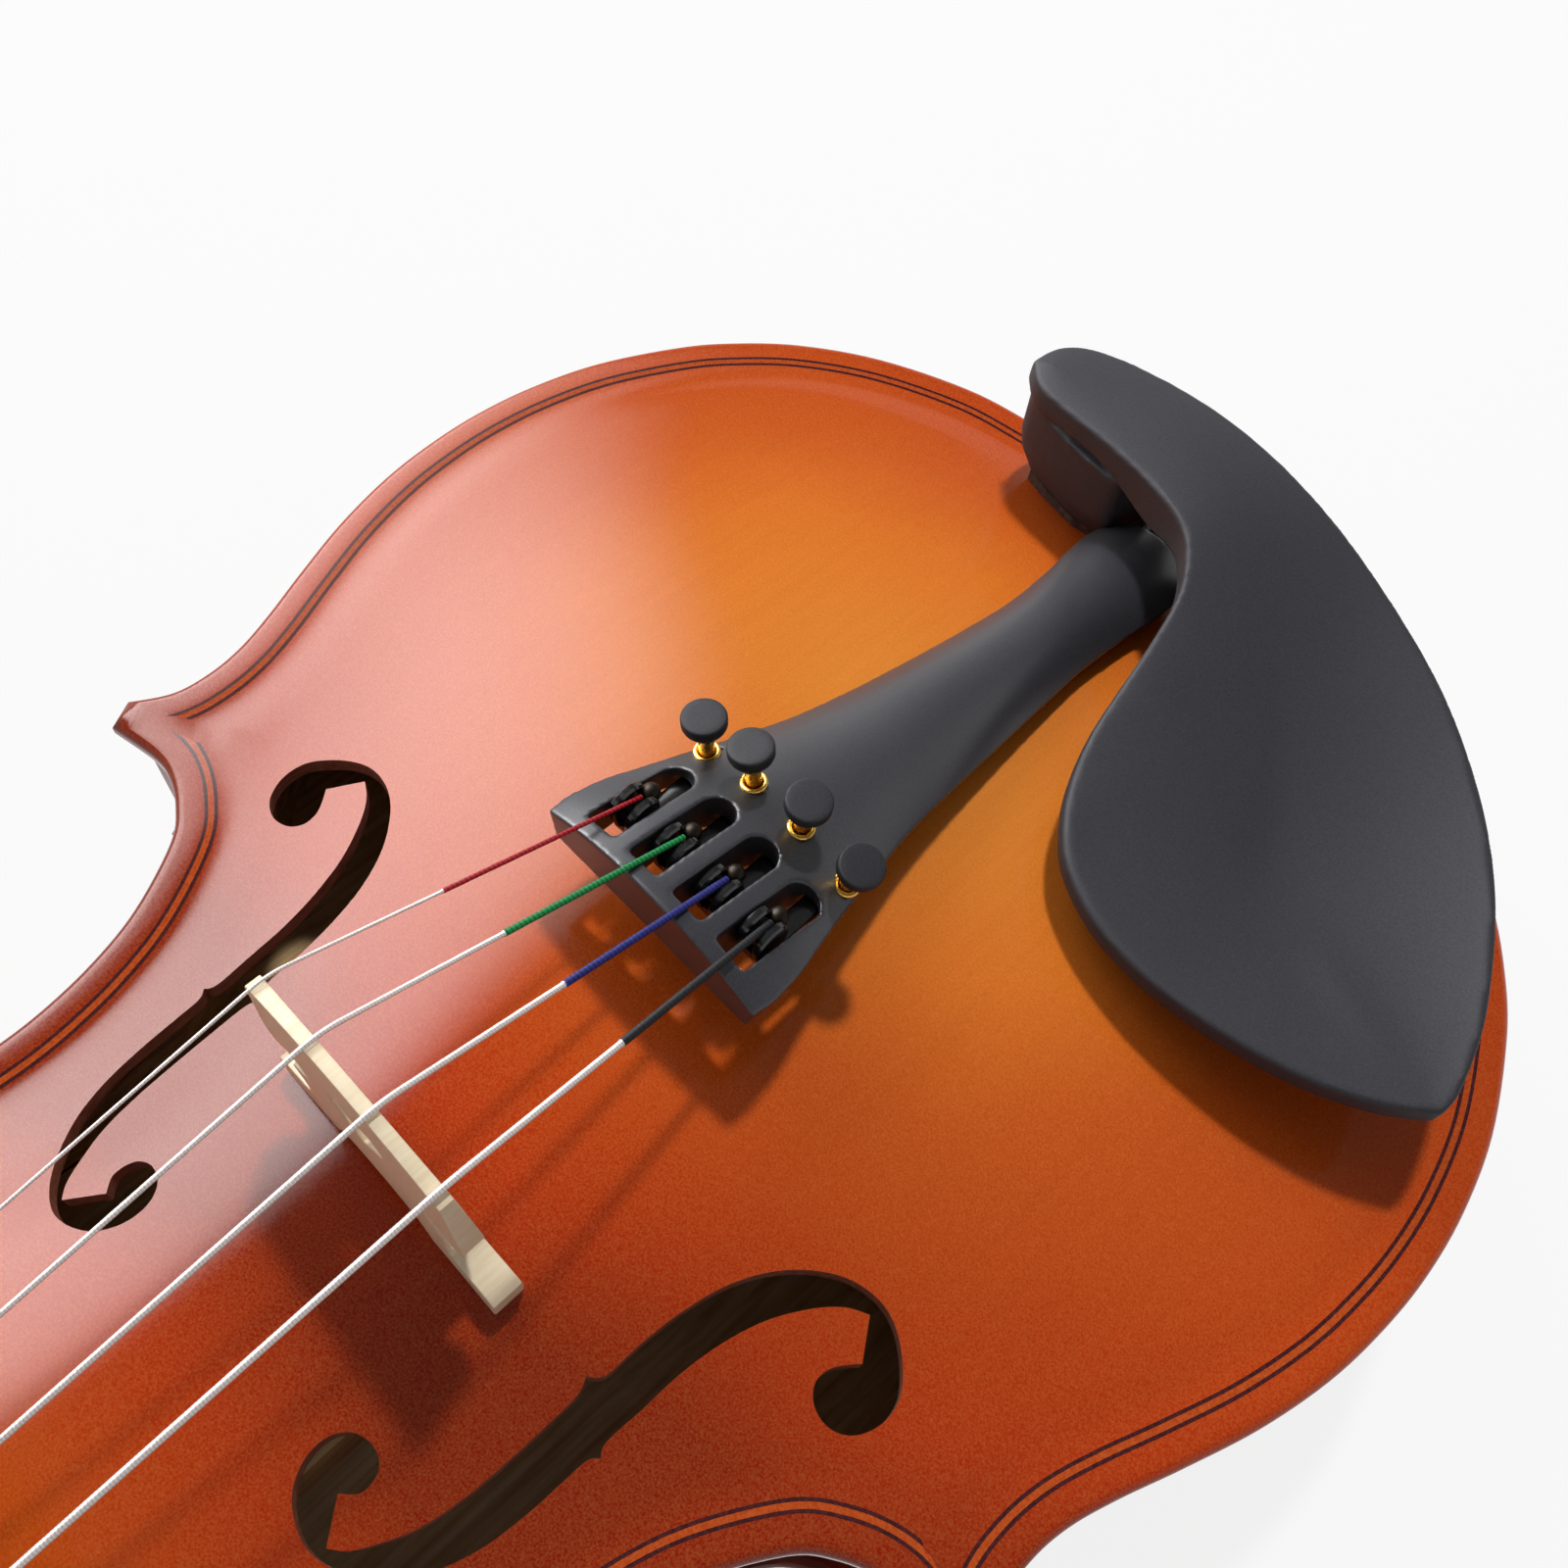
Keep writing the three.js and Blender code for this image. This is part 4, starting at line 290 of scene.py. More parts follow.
def evenly(line, count):
    # A line's points spread evenly along its length.
    line = np.asarray(line, float)
    run = np.concatenate([[0], np.cumsum(np.linalg.norm(np.diff(line, axis=0), axis=1))])
    at = np.linspace(0, run[-1], count)
    return np.stack([np.interp(at, run, line[:, k]) for k in range(line.shape[1])], 1)


def mirrored(path):
    return path[::-1] * np.array([-1] + [1] * (path.shape[1] - 1))


# Finishes
def plain(*shades):
    # A colour written the way it looks, as the shader wants it.
    shades = [shade / 255 for shade in shades]
    return (*(v / 12.92 if v <= 0.04045 else ((v + 0.055) / 1.055) ** 2.4 for v in shades), 1)


def addNode(tree, kind, inputs=None, **fields):
    node = tree.nodes.new("ShaderNode" + kind)
    for key, value in fields.items():
        setattr(node, key, value)
    for key, value in (inputs or {}).items():
        if isinstance(value, bpy.types.NodeSocket):
            tree.links.new(value, node.inputs[key])
        else:
            node.inputs[key].default_value = value
    return node


def calc(tree, operation, *values, kind="Math"):
    return addNode(tree, kind, dict(enumerate(values)), operation=operation).outputs[0]


def mapRange(tree, value, low, high, toLow=0.0, toHigh=1.0, kind="LINEAR"):
    inputs = {0: value, 1: low, 2: high, 3: toLow, 4: toHigh}
    return addNode(tree, "MapRange", inputs, interpolation_type=kind).outputs[0]


def noise(tree, place, scale, detail, roughness=0.5, distortion=0.0):
    node = addNode(tree, "TexNoise", {"Vector": place, "Scale": scale, "Detail": detail,
                                      "Roughness": roughness, "Distortion": distortion})
    return node.outputs[0]


def mixColours(tree, factor, a, b):
    return addNode(tree, "Mix", {0: factor, 6: a, 7: b}, data_type="RGBA").outputs[2]


def addRamp(tree, factor, stops):
    node = addNode(tree, "ValToRGB", {0: factor})
    elements = node.color_ramp.elements
    while len(elements) < len(stops):
        elements.new(0.5)
    for element, (at, shade) in zip(elements, stops):
        element.position = at
        element.color = plain(*shade)
    return node.outputs["Color"]


def newGroup(name, inputs, output):
    # A group that takes a vector and some numbers, and gives one number.
    group = bpy.data.node_groups.new(name, "ShaderNodeTree")
    group.interface.new_socket(name="Vector", in_out="INPUT", socket_type="NodeSocketVector")
    for label, value in inputs.items():
        socket = group.interface.new_socket(name=label, in_out="INPUT", socket_type="NodeSocketFloat")
        socket.default_value = value
    group.interface.new_socket(name=output, in_out="OUTPUT", socket_type="NodeSocketFloat")
    given = group.nodes.new("NodeGroupInput").outputs
    return group, given, group.nodes.new("NodeGroupOutput").inputs[output]


def makeSpeckleGroup():
    # Fine round specks, as in sprayed varnish, moulded plastic or cork. Size is in millimetres.
    group, given, mask = newGroup("speckle", {"Size": 0.5, "Low": 0.4, "High": 0.65}, "Mask")
    scale = calc(group, "DIVIDE", 1000.0, given["Size"])
    specks = noise(group, given["Vector"], scale, 2.0, 0.6)
    group.links.new(mapRange(group, specks, given["Low"], given["High"]), mask)
    return group


def makeStreakGroup(name, alongY, detail, roughness, low, high, kind):
    # Streaks of wood, Width millimetres wide and Stretch times as long: grain along Y, or curl across it.
    group, given, mask = newGroup(name, {"Width": 1.0, "Stretch": 30.0, "Wander": 0.4}, "Mask")
    fine = calc(group, "DIVIDE", 1000.0, given["Width"])
    slow = calc(group, "DIVIDE", fine, given["Stretch"])
    scales = (fine, slow, fine) if alongY else (slow, fine, slow)
    scale = addNode(group, "CombineXYZ", dict(enumerate(scales))).outputs[0]
    place = calc(group, "MULTIPLY", given["Vector"], scale, kind="VectorMath")
    streaks = noise(group, place, 1.0, detail, roughness, given["Wander"])
    group.links.new(mapRange(group, streaks, low, high, kind=kind), mask)
    return group


burstSettings = {"blend": 0.25, "bouts": (((4, -98), (118, 84)), ((0, 112), (84, 76)))}


def makeBurstGroup(s):
    # How far a place lies from the light middles of the two bouts: 0 at a middle, about 1 at the edge.
    group, given, share = newGroup("burst", {}, "Share")
    shares = []
    for (x, y), (wide, long) in s["bouts"]:
        moved = calc(group, "ADD", given["Vector"], (-x / 1000, -y / 1000, 0), kind="VectorMath")
        scaled = calc(group, "MULTIPLY", moved, (1000 / wide, 1000 / long, 0), kind="VectorMath")
        shares.append(addNode(group, "VectorMath", {0: scaled}, operation="LENGTH").outputs["Value"])
    group.links.new(calc(group, "SMOOTH_MIN", *shares, s["blend"]), share)
    return group


speckleGroup = makeSpeckleGroup()
grainGroup = makeStreakGroup("grain", True, 3.0, 0.55, 0.3, 0.7, "LINEAR")
flameGroup = makeStreakGroup("flame", False, 2.0, 0.5, 0.35, 0.65, "SMOOTHSTEP")
burstGroup = makeBurstGroup(burstSettings)


def useGroup(tree, group, place, **values):
    node = tree.nodes.new("ShaderNodeGroup")
    node.node_tree = group
    tree.links.new(place, node.inputs["Vector"])
    for key, value in values.items():
        node.inputs[key].default_value = value
    return node.outputs[0]


finishes = {}


def startMaterial(name, **sockets):
    # A new finish, kept under its name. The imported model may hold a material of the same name.
    material = bpy.data.materials.new(name)
    finishes[name] = material
    material.use_nodes = True
    tree = material.node_tree
    shader = tree.nodes["Principled BSDF"]
    for key, value in sockets.items():
        shader.inputs[key.replace("_", " ")].default_value = value
    place = addNode(tree, "TexCoord").outputs["Object"]
    return tree, shader, place


def paint(tree, shader, colour, roughness):
    tree.links.new(colour, shader.inputs["Base Color"])
    tree.links.new(roughness, shader.inputs["Roughness"])


def addBump(tree, shader, height, strength, distance, normals=("Normal",)):
    # The distance is in millimetres.
    bump = addNode(tree, "Bump", {"Height": height, "Strength": strength, "Distance": distance / 1000})
    for each in normals:
        tree.links.new(bump.outputs[0], shader.inputs[each])


varnishSettings = {
    "coatRoughness": 0.1,
    "coatIor": 1.3,
    "stops": [(0.0, (242, 148, 54)), (0.34, (234, 120, 36)), (0.5, (214, 88, 22)),
              (0.7, (196, 62, 8)), (0.82, (184, 46, 3)), (0.96, (148, 25, 1))],
    "burstScale": 0.8,
    "drift": 0.16,
    "speck": 0.3,
    "spruceDark": (120, 30, 6), "spruceLight": (255, 196, 104), "spruceLine": (150, 55, 22),
    "mapleDark": (118, 38, 20), "mapleLight": (168, 66, 28), "mapleLine": (84, 24, 14),
}


def startVarnish(name, s=varnishSettings):
    return startMaterial(name, Coat_Weight=1.0, Coat_Roughness=s["coatRoughness"], Coat_IOR=s["coatIor"],
                         Specular_IOR_Level=0.0)


def addPeel(tree, shader, place, distance):
    # The slight orange peel of a sprayed coat.
    peel = useGroup(tree, speckleGroup, place, Size=1.4, Low=0.2, High=0.8)
    addBump(tree, shader, peel, 0.35, distance, ("Normal", "Coat Normal"))


def bellyVarnish(s=varnishSettings):
    # Spruce under sprayed sunburst varnish: amber middles, brown-red waist and edges.
    tree, shader, place = startVarnish("varnishedSpruce")
    drift = noise(tree, place, 22.0, 2.0)
    share = calc(tree, "MULTIPLY_ADD", drift, s["drift"], useGroup(tree, burstGroup, place))
    centred = calc(tree, "SUBTRACT", share, s["drift"] / 2)
    shade = addRamp(tree, calc(tree, "MULTIPLY", centred, s["burstScale"]), s["stops"])
    specks = useGroup(tree, speckleGroup, place, Size=s["speck"], Low=0.35, High=0.75)
    shade = mixColours(tree, specks, mixColours(tree, 0.1, shade, plain(*s["spruceDark"])),
                       mixColours(tree, 0.13, shade, plain(*s["spruceLight"])))
    lines = useGroup(tree, grainGroup, place, Width=1.5, Stretch=90.0, Wander=0.1)
    shade = mixColours(tree, calc(tree, "MULTIPLY", lines, 0.07), shade, plain(*s["spruceLine"]))
    paint(tree, shader, shade, mapRange(tree, specks, 0, 1, 0.42, 0.55))
    addPeel(tree, shader, place, 0.015)


def mapleVarnish(s=varnishSettings):
    # Figured maple under red-brown varnish, for the back, ribs, neck and head.
    tree, shader, place = startVarnish("varnishedMaple")
    bands = useGroup(tree, flameGroup, place, Width=6.5, Stretch=9.0, Wander=0.5)
    lines = useGroup(tree, grainGroup, place, Width=1.1, Stretch=45.0, Wander=0.3)
    shade = mixColours(tree, bands, plain(*s["mapleDark"]), plain(*s["mapleLight"]))
    shade = mixColours(tree, calc(tree, "MULTIPLY", lines, 0.35), shade, plain(*s["mapleLine"]))
    paint(tree, shader, shade, mapRange(tree, lines, 0, 1, 0.4, 0.52))
    addPeel(tree, shader, place, 0.02)


def bareWood(name, light, dark, width, stretch, roughness):
    tree, shader, place = startMaterial(name, Specular_IOR_Level=0.3)
    lines = useGroup(tree, grainGroup, place, Width=width, Stretch=stretch, Wander=0.3)
    specks = useGroup(tree, speckleGroup, place, Size=0.5, Low=0.3, High=0.8)
    shade = mixColours(tree, lines, plain(*light), plain(*dark))
    shade = mixColours(tree, calc(tree, "MULTIPLY", specks, 0.25), shade, plain(*dark))
    paint(tree, shader, shade, mapRange(tree, lines, 0, 1, roughness - 0.06, roughness + 0.08))
    addBump(tree, shader, lines, 0.3, 0.05)


def moulded(name, light, dark, roughness, size, depth, specular=0.4):
    # Matte moulded plastic, or stained wood: a fine skin with slow clouds of shine.
    tree, shader, place = startMaterial(name, Specular_IOR_Level=specular)
    specks = useGroup(tree, speckleGroup, place, Size=size, Low=0.35, High=0.7)
    clouds = noise(tree, place, 45.0, 3.0)
    rough = mapRange(tree, clouds, 0.3, 0.7, roughness - 0.05, roughness + 0.06)
    paint(tree, shader, mixColours(tree, specks, plain(*dark), plain(*light)), rough)
    addBump(tree, shader, specks, 0.4, depth)


def inlaidWood(name, light, dark):
    # A strip of wood let into a plate, under the same clear varnish.
    tree, shader, place = startVarnish(name)
    specks = useGroup(tree, speckleGroup, place, Size=0.4, Low=0.35, High=0.7)
    shade = mixColours(tree, specks, plain(*dark), plain(*light))
    paint(tree, shader, shade, mapRange(tree, specks, 0, 1, 0.4, 0.5))


def metalFinish(name, shade, roughness):
    tree, shader, place = startMaterial(name, Metallic=1.0)
    specks = useGroup(tree, speckleGroup, place, Size=0.6, Low=0.3, High=0.7)
    light = plain(*shade)
    dark = (*[v * 0.8 for v in light[:3]], 1)
    rough = mapRange(tree, specks, 0, 1, roughness, roughness + 0.12)
    paint(tree, shader, mixColours(tree, specks, light, dark), rough)
    addBump(tree, shader, specks, 0.25, 0.01)


def woundThread(name, light, dark, pitch, roughness, metallic=0.0):
    # Fine turns round a string, laid across its length. One turn takes 6.283 of the wave's own measure.
    tree, shader, place = startMaterial(name, Metallic=metallic, Specular_IOR_Level=0.25)
    wave = {"Vector": place, "Scale": 1000 / pitch / 6.283, "Distortion": 0.6, "Detail": 1.0,
            "Detail Scale": 2.0}
    turns = addNode(tree, "TexWave", wave, bands_direction="Y", wave_type="BANDS").outputs["Fac"]
    specks = useGroup(tree, speckleGroup, place, Size=0.3, Low=0.3, High=0.7)
    rough = mapRange(tree, specks, 0, 1, roughness - 0.05, roughness + 0.1)
    paint(tree, shader, mixColours(tree, turns, plain(*dark), plain(*light)), rough)
    addBump(tree, shader, turns, 0.4, 0.04)


bellyVarnish()
mapleVarnish()
bareWood("bareSpruce", (226, 196, 146), (190, 148, 98), 1.3, 60.0, 0.72)
bareWood("soundHoleEdge", (176, 112, 92), (128, 66, 48), 0.8, 40.0, 0.55)
bareWood("bridgeMaple", (255, 240, 210), (244, 222, 184), 0.5, 14.0, 0.5)
inlaidWood("purflingDark", (88, 40, 40), (58, 24, 26))
inlaidWood("purflingLight", (202, 92, 36), (178, 66, 20))
moulded("ebony", (40, 36, 35), (22, 19, 19), 0.3, 0.35, 0.01, 0.5)
moulded("tailpiecePlastic", (64, 64, 69), (50, 50, 55), 0.34, 0.25, 0.01, 0.5)
moulded("chinRestPlastic", (56, 55, 60), (44, 43, 48), 0.58, 0.3, 0.01, 0.25)
moulded("knobPlastic", (50, 50, 54), (38, 38, 42), 0.55, 0.25, 0.01, 0.2)
moulded("leverBlack", (26, 26, 28), (16, 16, 18), 0.16, 0.5, 0.006, 0.6)
metalFinish("brass", (226, 184, 96), 0.2)
# Ball-end brass made nearly black: painted shade, for the balls that sit in shade in the lever slots.
metalFinish("ballBrassPaintedShade", (48, 43, 38), 0.4)
metalFinish("nickel", (205, 205, 208), 0.2)
woundThread("steelWire", (236, 226, 222), (206, 196, 192), 0.2, 0.4, 0.3)
moulded("tailgutNylon", (34, 34, 36), (22, 22, 24), 0.4, 0.5, 0.01)
moulded("cork", (84, 62, 46), (48, 34, 26), 0.85, 0.9, 0.08, 0.2)
silkShades = {"g": (34, 34, 38), "d": (46, 48, 130), "a": (30, 150, 78), "e": (196, 30, 44)}
for letter, shade in silkShades.items():
    woundThread(letter + "Silk", shade, [v * 0.6 for v in shade], 0.32, 0.6)
print("finishes made:", len(finishes))


# Outline of the sound box
boxSettings = {
    "bodyLength": 362, "bottomY": -172, "topY": 190, "lowerHalf": 102.4, "waistHalf": 54.2, "upperHalf": 83,
    "lowerCornerY": -15, "lowerFace": 4.1, "waistLength": 84.8, "upperFace": 5.3,
    "backJoint": 15, "topJoint": 46, "plateEdge": 4, "thickness": 3, "topArch": 15.5, "backArch": 15,
    "backFlat": 0.3, "archMiddle": 9, "archHalf": 173, "acrossPower": 1.25, "alongPower": 2.6,
}
lowerBoutShares = [
    [0, 0], [0.195, 0.0045], [0.361, 0.0185], [0.488, 0.038], [0.641, 0.085], [0.762, 0.1446], [0.848, 0.209],
    [0.902, 0.266], [0.959, 0.3516], [0.989, 0.433], [1, 0.506], [0.997, 0.573], [0.983, 0.64],
    [0.953, 0.713], [0.912, 0.783], [0.875, 0.841], [0.852, 0.885], [0.843, 0.924], [0.848, 0.962],
    [0.878, 1],
]
waistShares = [
    [1.616, 0], [1.461, -0.02], [1.371, -0.0153], [1.28, 0.0118], [1.199, 0.0566], [1.094, 0.1675],
    [1.037, 0.27], [1.006, 0.376], [1, 0.4705], [1.015, 0.5825], [1.052, 0.69], [1.106, 0.775],
    [1.181, 0.848], [1.273, 0.9127], [1.3745, 0.9599], [1.439, 1],
]
upperBoutShares = [
    [0.9205, 0], [0.8964, 0.0433], [0.8867, 0.0975], [0.8976, 0.1697], [0.9277, 0.2509], [0.9639, 0.3412],
    [0.988, 0.4314], [1, 0.5126], [0.983, 0.6029], [0.942, 0.6931], [0.8735, 0.7744], [0.765, 0.8556],
    [0.6386, 0.9143], [0.494, 0.9594], [0.337, 0.9865], [0.169, 0.9973], [0, 1],
]
lowerSpineShares = [0.16, 0.287]
waistSpineShares = [0.3, 0.78]
upperSpineShares = [0.79, 0.86]
archReachShares = [
    [0, 0.22], [0.033, 0.57], [0.088, 0.78], [0.157, 0.9], [0.227, 0.94], [0.31, 0.89], [0.365, 0.78],
    [0.406, 0.68], [0.447, 0.576], [0.475, 0.52], [0.53, 0.474], [0.6, 0.498], [0.64, 0.557], [0.682, 0.625],
    [0.751, 0.7], [0.834, 0.75], [0.917, 0.62], [1, 0.22],
]
soundHoleShares = [
    [0.19, 1], [0.275, 0.979], [0.354, 0.935], [0.422, 0.873], [0.465, 0.795], [0.485, 0.706], [0.492, 0.625],
    [0.497, 0.575], [0.519, 0.555], [0.499, 0.531], [0.506, 0.448], [0.512, 0.36], [0.535, 0.271],
    [0.578, 0.183], [0.646, 0.105], [0.711, 0.056], [0.774, 0.031], [0.851, 0.1], [0.799, 0.145],
    [0.792, 0.186], [0.833, 0.215], [0.901, 0.221], [0.964, 0.198], [1, 0.147], [0.991, 0.091],
    [0.932, 0.044], [0.847, 0.009], [0.761, 0], [0.661, 0.018], [0.569, 0.062], [0.49, 0.124], [0.431, 0.204],
    [0.397, 0.294], [0.381, 0.382], [0.375, 0.46], [0.339, 0.487], [0.359, 0.519], [0.359, 0.596],
    [0.354, 0.684], [0.343, 0.773], [0.318, 0.854], [0.275, 0.917], [0.239, 0.956], [0.199, 0.978],
    [0.12, 0.913], [0.158, 0.885], [0.149, 0.845], [0.102, 0.826], [0.038, 0.835], [0, 0.87], [0.002, 0.919],
    [0.043, 0.965], [0.113, 0.993],
]


def boutLine(shares, half, fromY, toY, perSpan):
    return splineThrough([(x * half, fromY + y * (toY - fromY)) for x, y in shares], perSpan)


def outlineParts(perSpan, s=boxSettings):
    waistStart = s["lowerCornerY"] + s["lowerFace"]
    waistEnd = waistStart + s["waistLength"]
    lower = boutLine(lowerBoutShares, s["lowerHalf"], s["bottomY"], s["lowerCornerY"], perSpan)
    waist = boutLine(waistShares, s["waistHalf"], waistStart, waistEnd, perSpan)
    upper = boutLine(upperBoutShares, s["upperHalf"], waistEnd + s["upperFace"], s["topY"], perSpan)
    return lower, waist, upper


def spineOf(path, shares, s=boxSettings):
    run = np.concatenate([[0], np.cumsum(np.linalg.norm(np.diff(path, axis=0), axis=1))])
    y = s["bottomY"] + (shares[0] + (shares[1] - shares[0]) * run / run[-1]) * s["bodyLength"]
    return np.stack([np.zeros(len(y)), y], 1)


def wholeOutline(perSpan):
    parts = outlineParts(perSpan)
    half = np.vstack(parts)
    spines = zip(parts, (lowerSpineShares, waistSpineShares, upperSpineShares))
    middle = np.vstack([spineOf(path, shares) for path, shares in spines])
    return np.vstack([half, mirrored(half)[1:-1]]), np.vstack([middle, middle[::-1][1:-1]])


outline, spine = wholeOutline(6)


def edgeDistance(x, y, batch=3000):
    # The true distance to the outline, and the way that it grows.
    points = np.stack([np.ravel(x), np.ravel(y)], 1)
    ab = np.roll(outline, -1, 0) - outline
    square = (ab ** 2).sum(1)
    keep = square > 1e-12
    a, ab, square = outline[keep], ab[keep], square[keep]
    distance = np.empty(len(points))
    away = np.empty((len(points), 2))
    for i in range(0, len(points), batch):
        p = points[i:i + batch, None, :]
        t = np.clip(((p - a) * ab).sum(2) / square, 0, 1)
        gap = p - (a + ab * t[..., None])
        far = np.sqrt((gap ** 2).sum(2))
        best = far.argmin(1)
        rows = np.arange(len(best))
        distance[i:i + batch] = far[rows, best]
        away[i:i + batch] = gap[rows, best] / np.maximum(far[rows, best], 1e-9)[:, None]
    return distance.reshape(np.shape(x)), away


def archShare(x, y, s=boxSettings):
    reach = readTable(archReachShares, (y - s["bottomY"]) / s["bodyLength"]) * s["lowerHalf"]
    across = np.minimum(np.abs(x) / reach, 1)
    along = np.minimum(np.abs(y - s["archMiddle"]) / s["archHalf"], 1)
    return (1 + np.cos(np.pi * across ** s["acrossPower"])) / 2 * (1 - along ** s["alongPower"])


# Belly and back
plateShape = {
    "rimTop": 1.6, "rimUnder": 1.2, "channel": 0.45, "channelAt": 8.0, "channelWide": 3.4, "solidEdge": 5.7,
}


def jointOf(back, s=boxSettings):
    # The height of a plate's joint with the ribs, and the way that it arches from there.
    return (s["backJoint"], -1) if back else (s["topJoint"], 1)


def archRise(back, s=boxSettings):
    return (s["backArch"] + s["backFlat"] if back else s["topArch"]) - s["plateEdge"]


def channelDepth(d, p=plateShape):
    return p["channel"] * np.exp(-((d - p["channelAt"]) / p["channelWide"]) ** 2)


def rimFall(d, radius):
    return radius - np.sqrt(np.maximum(radius ** 2 - np.maximum(radius - d, 0) ** 2, 0))


def outsideHeight(x, y, d, back, s=boxSettings, p=plateShape):
    # How far the outer face stands out from the plate's joint with the ribs.
    return s["plateEdge"] + archRise(back) * archShare(x, y) - channelDepth(d) - rimFall(d, p["rimTop"])


def makePlate(name, back, s=boxSettings, p=plateShape):
    # Loops that go in from the outline toward the spine, on the inner face and then on the outer one.
    run = spine - outline
    length = np.linalg.norm(run, axis=1)[:, None]
    joint, way = jointOf(back)
    innerInsets = [18, 12, 8, 5.8, 2.4, 1.2, 0.5, 0.12, 0]
    outerInsets = [0, 0.1, 0.3, 0.6, 1.0, 1.5, 2.1, 3, 4, 5, 6, 7, 8, 9.5, 11, 13, 15.5, 18.5]
    shares = np.linspace(0, 1, 23)[1:]

    def drawnIn(inset, share=0):
        return outline + run * (inset + share * (length - inset)) / length

    inner = [drawnIn(innerInsets[0], share) for share in shares[::-3]]
    inner += [drawnIn(inset) for inset in innerInsets]
    outer = [drawnIn(inset) for inset in outerInsets]
    outer += [drawnIn(outerInsets[-1], share) for share in shares]
    loops = []
    for i, plan in enumerate(inner + outer):
        x, y = plan[:, 0], plan[:, 1]
        d, _ = edgeDistance(x, y)
        stand = outsideHeight(x, y, d, back)
        if i < len(inner):
            hollow = np.where(d > p["solidEdge"], np.maximum(stand - s["thickness"], 0), 0)
            stand = hollow + rimFall(d, p["rimUnder"])
        z = joint + way * stand
        loops.append(np.stack([x, y, np.maximum(z, 0) if back else z], 1))
    return tidyMesh(meshPiece(name, *loft(loops, capped=False)), merge=0.002)


def shadePlate(piece, back, p=plateShape):
    # Smooth outside face from its own formula. The second finish marks cut walls, the third the inner face.
    mesh = piece.data
    co = np.zeros(len(mesh.vertices) * 3)
    mesh.vertices.foreach_get("co", co)
    co = co.reshape(-1, 3) * 1000
    x, y, z = co[:, 0], co[:, 1], co[:, 2]
    d, away = edgeDistance(x, y)
    joint, way = jointOf(back)
    step = 0.05
    gx = archRise(back) * (archShare(x + step, y) - archShare(x - step, y)) / (2 * step)
    gy = archRise(back) * (archShare(x, y + step) - archShare(x, y - step)) / (2 * step)
    rim = np.clip(p["rimTop"] - d, 0, p["rimTop"] * 0.999)
    slope = channelDepth(d) * 2 * (d - p["channelAt"]) / p["channelWide"] ** 2
    slope = slope + rim / np.sqrt(p["rimTop"] ** 2 - rim ** 2)
    upright = np.full(len(co), float(way))
    normal = np.stack([-(gx + slope * away[:, 0]), -(gy + slope * away[:, 1]), upright], 1)
    if back:
        # The flat to rest on looks straight down.
        normal[z < 0.01, 2] = -1e6
    normal /= np.linalg.norm(normal, axis=1)[:, None]
    expected = np.minimum(outsideHeight(x, y, d, back), joint)
    outer = np.abs(way * (z - joint) - expected) < 0.25
    loops = [(0.0, 0.0, 0.0)] * len(mesh.loops)
    for polygon in mesh.polygons:
        facing = polygon.normal.z * way
        if facing > 0.25 and all(outer[v] for v in polygon.vertices):
            for index in polygon.loop_indices:
                loops[index] = tuple(normal[mesh.loops[index].vertex_index])
        elif abs(facing) < 0.3 and all(d[v] > 3 for v in polygon.vertices):
            polygon.material_index = 1
        elif facing < -0.3:
            polygon.material_index = 2 if all(d[v] > 5 for v in polygon.vertices) else 0
    smoothShade(piece, 30)
    mesh.normals_split_custom_set(loops)
    return piece


holeSettings = {"inner": 18.3, "wide": 44.3, "top": 33.4, "long": 67.8}
endCuts = {"low": 40, "high": 70, "saddleHalf": 17.2, "saddleY": -164.8, "tailY": -176, "neckHalf": 16.1,
           "neckY": 183.2, "headY": 200}


def holeLine(s=holeSettings):
    points = [(s["inner"] + x * s["wide"], s["top"] - (1 - y) * s["long"]) for x, y in soundHoleShares]
    return smoothLoop(points, 5)


def prism(name, line, low, high):
    return loftPiece(name, [np.column_stack([line, np.full(len(line), z)]) for z in (low, high)])


def cutEnds(piece, less=0, s=endCuts):
    # Leaves room for the saddle and for the foot of the neck, each cut smaller by so much on every side.
    x, y = s["saddleHalf"] - less, s["saddleY"] - less
    cutOut(piece, boxPiece("cutter", (-x, s["tailY"], s["low"]), (x, y, s["high"])))
    x, y = s["neckHalf"] - less, s["neckY"] + less
    cutOut(piece, boxPiece("cutter", (-x, y, s["low"]), (x, s["headY"], s["high"])))


bellySkin = makePlate("bellySkin", False)
for side in (1, -1):
    line = holeLine() * (side, 1)
    cutOut(bellySkin, prism("cutter", line[::side], endCuts["low"], endCuts["high"]))
cutEnds(bellySkin)
shadePlate(bellySkin, False)
bellyLooks = ["varnishedSpruce", "soundHoleEdge", "bareSpruce"]
settle(bellySkin, "violin", bellyLooks, "varnished_spruce", "top_plate")
print("belly made:", len(bellySkin.data.polygons), "faces")

buttonRows = [(10.4, 0), (10.8, 0.5), (10.8, 3.5), (10.4, 4)]
backSkin = makePlate("backSkin", True)
joinInto(backSkin, turned("button", buttonRows, 64, (0, boxSettings["topY"], 11)), "UNION")
shadePlate(backSkin, True)
backLooks = ["varnishedMaple", "varnishedMaple", "bareSpruce"]
settle(backSkin, "violin", backLooks, "varnished_maple", "back_plate")
print("back made:", len(backSkin.data.polygons), "faces")


# Purfling and ribs, each a band beside the outline
def bandLine(path, inset, count):
    # A line at a true distance inside the outline, cut where it would cross its neighbour.
    along = np.gradient(path, axis=0)
    along /= np.linalg.norm(along, axis=1)[:, None]
    moved = path + np.stack([-along[:, 1], along[:, 0]], 1) * inset
    d, _ = edgeDistance(moved[:, 0], moved[:, 1])
    return evenly(moved[d > inset - 0.03], count)


